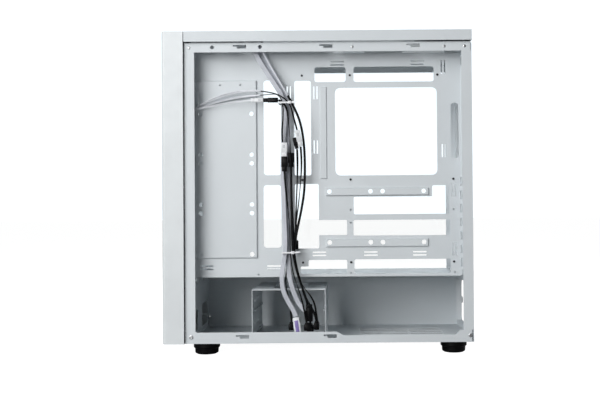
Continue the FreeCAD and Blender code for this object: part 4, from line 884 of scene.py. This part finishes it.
for name in ("bottom_pan", "front_frame", "rear_panel", "top_frame", "motherboard_tray",
             "psu_shroud", "hdd_cage", "top_cover", "glass_frame"):
    dress(name, "steel_white", SHEET_EDGE, curved=False)
for number in range(1, 8):
    dress(f"slot_cover_{number}", "steel_white", 0.0002, curved=False)
for number in (1, 2, 3):
    dress(f"fan_frame_{number}", "fan_white", 0.0004)
    dress(f"fan_rotor_{number}", "fan_white", 0.0003)
for corner in ("front_right", "front_left", "rear_right", "rear_left"):
    dress(f"foot_{corner}", "foot_black", 0.0006, 3)
dress("foot_pads", "pad_rubber", 0.0003)
dress("front_bezel", "plastic_white", 0.0005, 3)
dress("io_housing", "plastic_white", 0.0004)
dress("psu_filter_frame", "plastic_white", 0.0003)
dress("power_button", "button_grey")
dress("reset_button", "button_grey")
dress("glass_panel", "glass_clear")
dress("glass_thumbscrews", "screw_white", 0.0002)
dress("standoffs", "standoff_steel", 0.00015)
dress("front_filter", "filter_mesh")


# Perforated sheets

def perforated(name, node, normal_axis, pitch, hole, thick, border, look, body):
    """A thin sheet with rows of six-sided holes inside a plain border, in place of a CAD node."""
    low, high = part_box(node)
    u_axis, v_axis = [i for i in range(3) if i != normal_axis]
    level = (low[normal_axis] + high[normal_axis]) / 2
    u0, v0 = low[u_axis] + border, low[v_axis] + border
    u1, v1 = high[u_axis] - border, high[v_axis] - border
    bm = bmesh.new()

    def ring_of(points):
        ring = []
        for u, v in points:
            place = [0.0, 0.0, 0.0]
            place[u_axis], place[v_axis], place[normal_axis] = u, v, level
            ring.append(bm.verts.new(place))
        return ring

    def rectangle(u_low, v_low, u_high, v_high):
        return ring_of([(u_low, v_low), (u_high, v_low), (u_high, v_high), (u_low, v_high)])

    outer, row = pitch / math.sqrt(3), pitch * math.sqrt(3) / 2
    columns, rows = int((u1 - u0) / pitch), int((v1 - v0) / row)
    first_u = u0 + ((u1 - u0) - (columns - 0.5) * pitch) / 2
    first_v = v0 + ((v1 - v0) - (rows - 1) * row) / 2
    corners = [(math.cos(math.radians(30 + 60 * k)), math.sin(math.radians(30 + 60 * k)))
               for k in range(6)]
    for j in range(rows):
        for i in range(columns - j % 2):
            u = first_u + pitch * (i + 0.5 * (j % 2))
            v = first_v + row * j
            cell = ring_of([(u + outer * c, v + outer * s) for c, s in corners])
            join_rings(bm, cell, ring_of([(u + hole * c, v + hole * s) for c, s in corners]))
    bmesh.ops.remove_doubles(bm, verts=bm.verts[:], dist=pitch * 0.01)
    inner = rectangle(first_u - pitch * 0.5, first_v - outer * 0.55,
                      first_u + pitch * (columns - 0.5), first_v + row * (rows - 1) + outer * 0.55)
    join_rings(bm, rectangle(low[u_axis], low[v_axis], high[u_axis], high[v_axis]), inner)
    face_outward(bm)
    thing = add_piece(to_mesh(bm, name), [look], body, [node])
    set_all(thing.modifiers.new("thickness", "SOLIDIFY"), thickness=thick, offset=0.0)


perforated("front_mesh_holes", "front_mesh", 1, 0.0042, 0.00175, 0.0009, 0.004,
           "mesh_white", "front_panel")
perforated("roof_mesh_holes", "top_filter", 2, 0.0034, 0.00145, 0.0008, 0.004,
           "mesh_white", "top_panel")
perforated("floor_filter_mesh", "psu_filter_mesh", 2, 0.0024, 0.00105, 0.0004, 0.002,
           "filter_mesh", "psu_filter")


# Front connectors on their circuit board

PORTS_X = 0.0805
WIDE_PORTS_Y = (-0.149, -0.133)
SMALL_PORT_Y = -0.1185
JACK_Y = -0.104
SWITCHES_Y = (-0.181, -0.1635)


def make_port_board(low, plate_z):
    board = Build()
    board.block((PORTS_X, -0.1515, plate_z), (0.029, 0.077, 0.0016), 0.0002)
    board.block((PORTS_X, -0.1065, plate_z), (0.012, 0.015, 0.0016), 0.0002)
    for x in (-0.0120, 0.0120):
        for y in (-0.185, -0.120):
            board.block((PORTS_X + x * 0.96, y, low[2] + 0.0015), (0.003, 0.003, 0.003), 0.0003, 1)
    for i in range(9):
        place = (PORTS_X + (0.0115 if i % 2 else -0.0115), -0.176 + 0.0062 * i, plate_z + 0.0012)
        board.block(place, (0.0020, 0.0012, 0.0008), 0.0001, 2)
    board.finish("port_board", ["circuit_board", "plug_white", "socket_dark"],
                 stands_for=["io_board"])


def make_port_shells(base, top):
    """Two square steel shells, and a rounded one for the small port."""
    shells = Build()
    z, tall = (base + top) / 2, top - base
    for y in WIDE_PORTS_Y:
        for side in (-1, 1):
            shells.block((PORTS_X, y + side * 0.0027, z), (0.0132, 0.0004, tall), 0.0001)
            shells.block((PORTS_X + side * 0.0064, y, z), (0.0004, 0.0058, tall), 0.0001)
    part = bmesh.new()

    def ring(half_x, half_y, z):
        return [part.verts.new((PORTS_X + half_x * math.copysign(abs(c) ** 0.45, c),
                                SMALL_PORT_Y + half_y * math.copysign(abs(s) ** 0.8, s), z))
                for c, s in circle(1.0, 28)]

    outside, inside = (0.00445, 0.0016), (0.00415, 0.0013)
    rings = [ring(*outside, base), ring(*outside, top), ring(*inside, top), ring(*inside, base)]
    for i, lower in enumerate(rings):
        join_rings(part, lower, rings[(i + 1) % 4])
    face_outward(part)
    shells.take(part, 0)
    shells.finish("port_shells", ["shell_steel"])


def make_port_insides(base, top):
    """The tongues and contacts in the ports, the jack, and the two switches under the buttons."""
    inside = Build()
    tall = top - base
    for y in WIDE_PORTS_Y:
        inside.block((PORTS_X, y + 0.0013, top - 0.0055), (0.0110, 0.0018, 0.0086), 0.0002, 0)
        inside.block((PORTS_X, y, base + 0.0014), (0.0122, 0.0048, 0.0028), 0.0002, 1)
        for k in range(4):
            inside.block((PORTS_X - 0.0037 + 0.00247 * k, y + 0.00035, top - 0.0045),
                         (0.0010, 0.0002, 0.0060), 0.0, 2)
    inside.block((PORTS_X, SMALL_PORT_Y, top - 0.0040), (0.0064, 0.0007, 0.0058), 0.0001, 1)
    inside.turned((PORTS_X, JACK_Y, base), UP,
                  [(0.0, 0.0), (0.0030, 0.0), (0.0030, tall - 0.0004), (0.0026, tall),
                   (0.00175, tall), (0.00175, 0.002), (0.0, 0.002)], 1)
    for y in SWITCHES_Y:
        inside.block((PORTS_X, y, base + 0.0013), (0.006, 0.006, 0.0026), 0.0003, 1)
        inside.turned((PORTS_X, y, base + 0.0026), UP,
                      [(0.0, 0.0), (0.0016, 0.0), (0.0016, 0.0003), (0.0, 0.0003)], 3)
    inside.finish("port_insides", ["plug_white", "socket_dark", "contact_gold", "button_grey"])


def make_front_ports():
    low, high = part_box("io_board")
    plate_z = low[2] + 0.0038
    base = plate_z + 0.0008
    make_port_board(low, plate_z)
    make_port_shells(base, high[2])
    make_port_insides(base, high[2])


make_front_ports()


# Screws and rivets with their drives

RIVET_HEAD = 0.0007
LARGEST_RIVET_RADIUS = 0.0026


def cross_head(build, centre, axis, radius, tall):
    """A domed screw head with a cross recess sunk in it."""
    part = bmesh.new()
    rings = [[part.verts.new((u, v, height)) for u, v in circle(r, 24, 0.5)]
             for r, height in ((radius, 0.0), (radius, tall * 0.45), (radius * 0.86, tall * 0.86),
                               (radius * 0.62, tall))]
    for lower, upper in zip(rings, rings[1:]):
        join_rings(part, lower, upper)
    part.faces.new(rings[0][::-1])
    arm, half = radius * 0.52, radius * 0.11
    cross = [(arm, -half), (arm, half), (half, half), (half, arm), (-half, arm), (-half, half),
             (-arm, half), (-arm, -half), (-half, -half), (-half, -arm), (half, -arm), (half, -half)]
    rim = [part.verts.new((u, v, tall)) for u, v in cross]
    floor = [part.verts.new((u * 0.55, v * 0.8, tall * 0.3)) for u, v in cross]
    join_rings(part, rim, floor)
    part.faces.new(floor)
    edges = []
    for loop in (rings[-1], rim):
        for i, vert in enumerate(loop):
            other = loop[(i + 1) % len(loop)]
            edges.append(part.edges.get((vert, other)) or part.edges.new((vert, other)))
    bmesh.ops.triangle_fill(part, use_beauty=True, edges=edges)
    face_outward(part)
    stand_on(part, centre, axis)
    build.take(part, 0)


def node_islands(name):
    """The boxes of a CAD node's separate solids, as (low, high) pairs."""
    bm = bmesh.new()
    bm.from_mesh(nodes[name].data)
    bmesh.ops.remove_doubles(bm, verts=bm.verts[:], dist=0.000002)
    seen, boxes = set(), []
    for start in bm.verts:
        if start in seen:
            continue
        seen.add(start)
        stack, group = [start], []
        while stack:
            vert = stack.pop()
            group.append(vert.co.copy())
            others = {edge.other_vert(vert) for edge in vert.link_edges} - seen
            seen |= others
            stack.extend(others)
        boxes.append((Vector([min(c[i] for c in group) for i in range(3)]),
                      Vector([max(c[i] for c in group) for i in range(3)])))
    bm.free()
    return boxes


def make_fan_screw(build, low, high):
    """A self-tapping screw along Y, with its head to the rear."""
    centre = (low + high) / 2
    head_y = high.y - 0.0022
    cross_head(build, (centre.x, head_y, centre.z), (0, 1, 0), 0.0036, 0.0022)
    thread = []
    for i in range(10):
        thread += [(0.0021, 0.00085 * i), (0.0017, 0.00085 * i + 0.0004)]
    length = head_y - low.y
    build.turned((centre.x, low.y, centre.z), (0, 1, 0),
                 [(0, 0)] + thread + [(0.0017, length), (0, length)], steps=20)


def make_cover_screw(build, low, high):
    """A slot cover's screw along X."""
    centre = (low + high) / 2
    head = Vector((low.x + 0.0030, centre.y, centre.z))
    length = high.x - head.x
    cross_head(build, head, (-1, 0, 0), 0.0034, 0.0030)
    build.turned(head, (1, 0, 0), [(0, 0), (0.00145, 0), (0.00145, length - 0.0004),
                                   (0.0010, length), (0, length)], steps=20)


def make_screws():
    build = Build()
    for low, high in node_islands("case_screws"):
        size = high - low
        make = make_fan_screw if size.y > size.x else make_cover_screw
        make(build, low, high)
    build.finish("screws", ["screw_steel"], stands_for=["case_screws"])


def make_rivets():
    """Pulled rivets, a low dome with the broken stem's dimple, and cross-head corner screws."""
    build = Build()
    for low, high in node_islands("frame_rivets"):
        centre = (low + high) / 2
        radius = (high.y - low.y) / 2
        head = (high.x - RIVET_HEAD, centre.y, centre.z)
        if radius > LARGEST_RIVET_RADIUS:
            cross_head(build, head, (1, 0, 0), radius, 0.00068)
        else:
            build.turned(head, (1, 0, 0),
                         [(0, 0), (0.0021, 0.0), (0.0021, 0.00018), (0.0018, 0.00045),
                          (0.0012, 0.00062), (0.00085, 0.00062), (0.00075, 0.0003),
                          (0.0006, 0.00012), (0, 0.00018)], steps=24)
        length = head[0] - low.x
        build.turned((low.x, centre.y, centre.z), (1, 0, 0),
                     [(0, 0), (0.0011, 0.0001), (0.0012, 0.0006), (0.0012, length), (0, length)],
                     steps=20)
    build.finish("rivets", ["screw_steel"], stands_for=["frame_rivets"])


make_screws()
make_rivets()


# Stage and light

def seen_or_lighting(tree, lighting, seen):
    """One value for what the stage sheds on the case, another for how it looks behind it."""
    path = add_node(tree, "LightPath", {})
    direct = maths(tree, "MAXIMUM", path.outputs["Is Camera Ray"], path.outputs["Is Transmission Ray"])
    return remap(tree, direct, 0.0, 1.0, lighting, seen)


def make_stage():
    tree, place = new_material("studio_floor")
    clouds = remap(tree, noise(tree, place, 1.5, 3.0), 0.3, 0.7, 0.0, 1.0)
    finish_shader(tree, {
        "Base Color": blend_colours(tree, clouds, (0.26, 0.26, 0.26), (0.28, 0.28, 0.28)),
        "Roughness": 0.7,
        "Emission Color": (1.0, 1.0, 1.0, 1.0),
        "Emission Strength": seen_or_lighting(tree, 0.02, 0.98),
    })
    bpy.ops.mesh.primitive_plane_add(size=60.0, location=(0.0, 0.0, 0.0))
    floor = bpy.context.object
    floor.name = "studio_floor"
    floor.data.materials.append(MATERIALS["studio_floor"])


def soft_light(name, place, target, size, power):
    data = bpy.data.lights.new(name, "AREA")
    data.shape = "RECTANGLE"
    data.size, data.size_y = size
    data.energy = power
    light = bpy.data.objects.new(name, data)
    scene.collection.objects.link(light)
    light.location = place
    light.rotation_euler = (Vector(target) - Vector(place)).to_track_quat("-Z", "Y").to_euler()


def make_world():
    """A white surround, dimmer as a light than it looks behind the case."""
    world = bpy.data.worlds.new("surround")
    world.use_nodes = True
    tree = world.node_tree
    sky = tree.nodes["Background"]
    set_input(tree, sky.inputs["Color"], (0.88, 0.95, 1.0, 1.0))
    set_input(tree, sky.inputs["Strength"], seen_or_lighting(tree, 0.05, 1.25))
    scene.world = world


make_stage()
make_world()
soft_light("key", (1.6, -1.30, 1.6), (0.0, 0.0, 0.22), (1.5, 1.2), 29.0)
soft_light("low_key", (2.2, -1.1, 0.75), (0.0, 0.0, 0.15), (1.6, 1.0), 31.0)
soft_light("fill", (1.6, 1.2, 0.6), (0.0, 0.0, 0.22), (1.2, 1.2), 1.0)
soft_light("far_fill", (-1.2, -0.3, 1.6), (0.0, 0.0, 0.10), (0.8, 0.8), 14.0)
soft_light("rear_fill", (-0.2, 2.4, 0.9), (0.0, 0.0, 0.24), (1.0, 1.0), 26.0)
scene.view_settings.view_transform = "Standard"
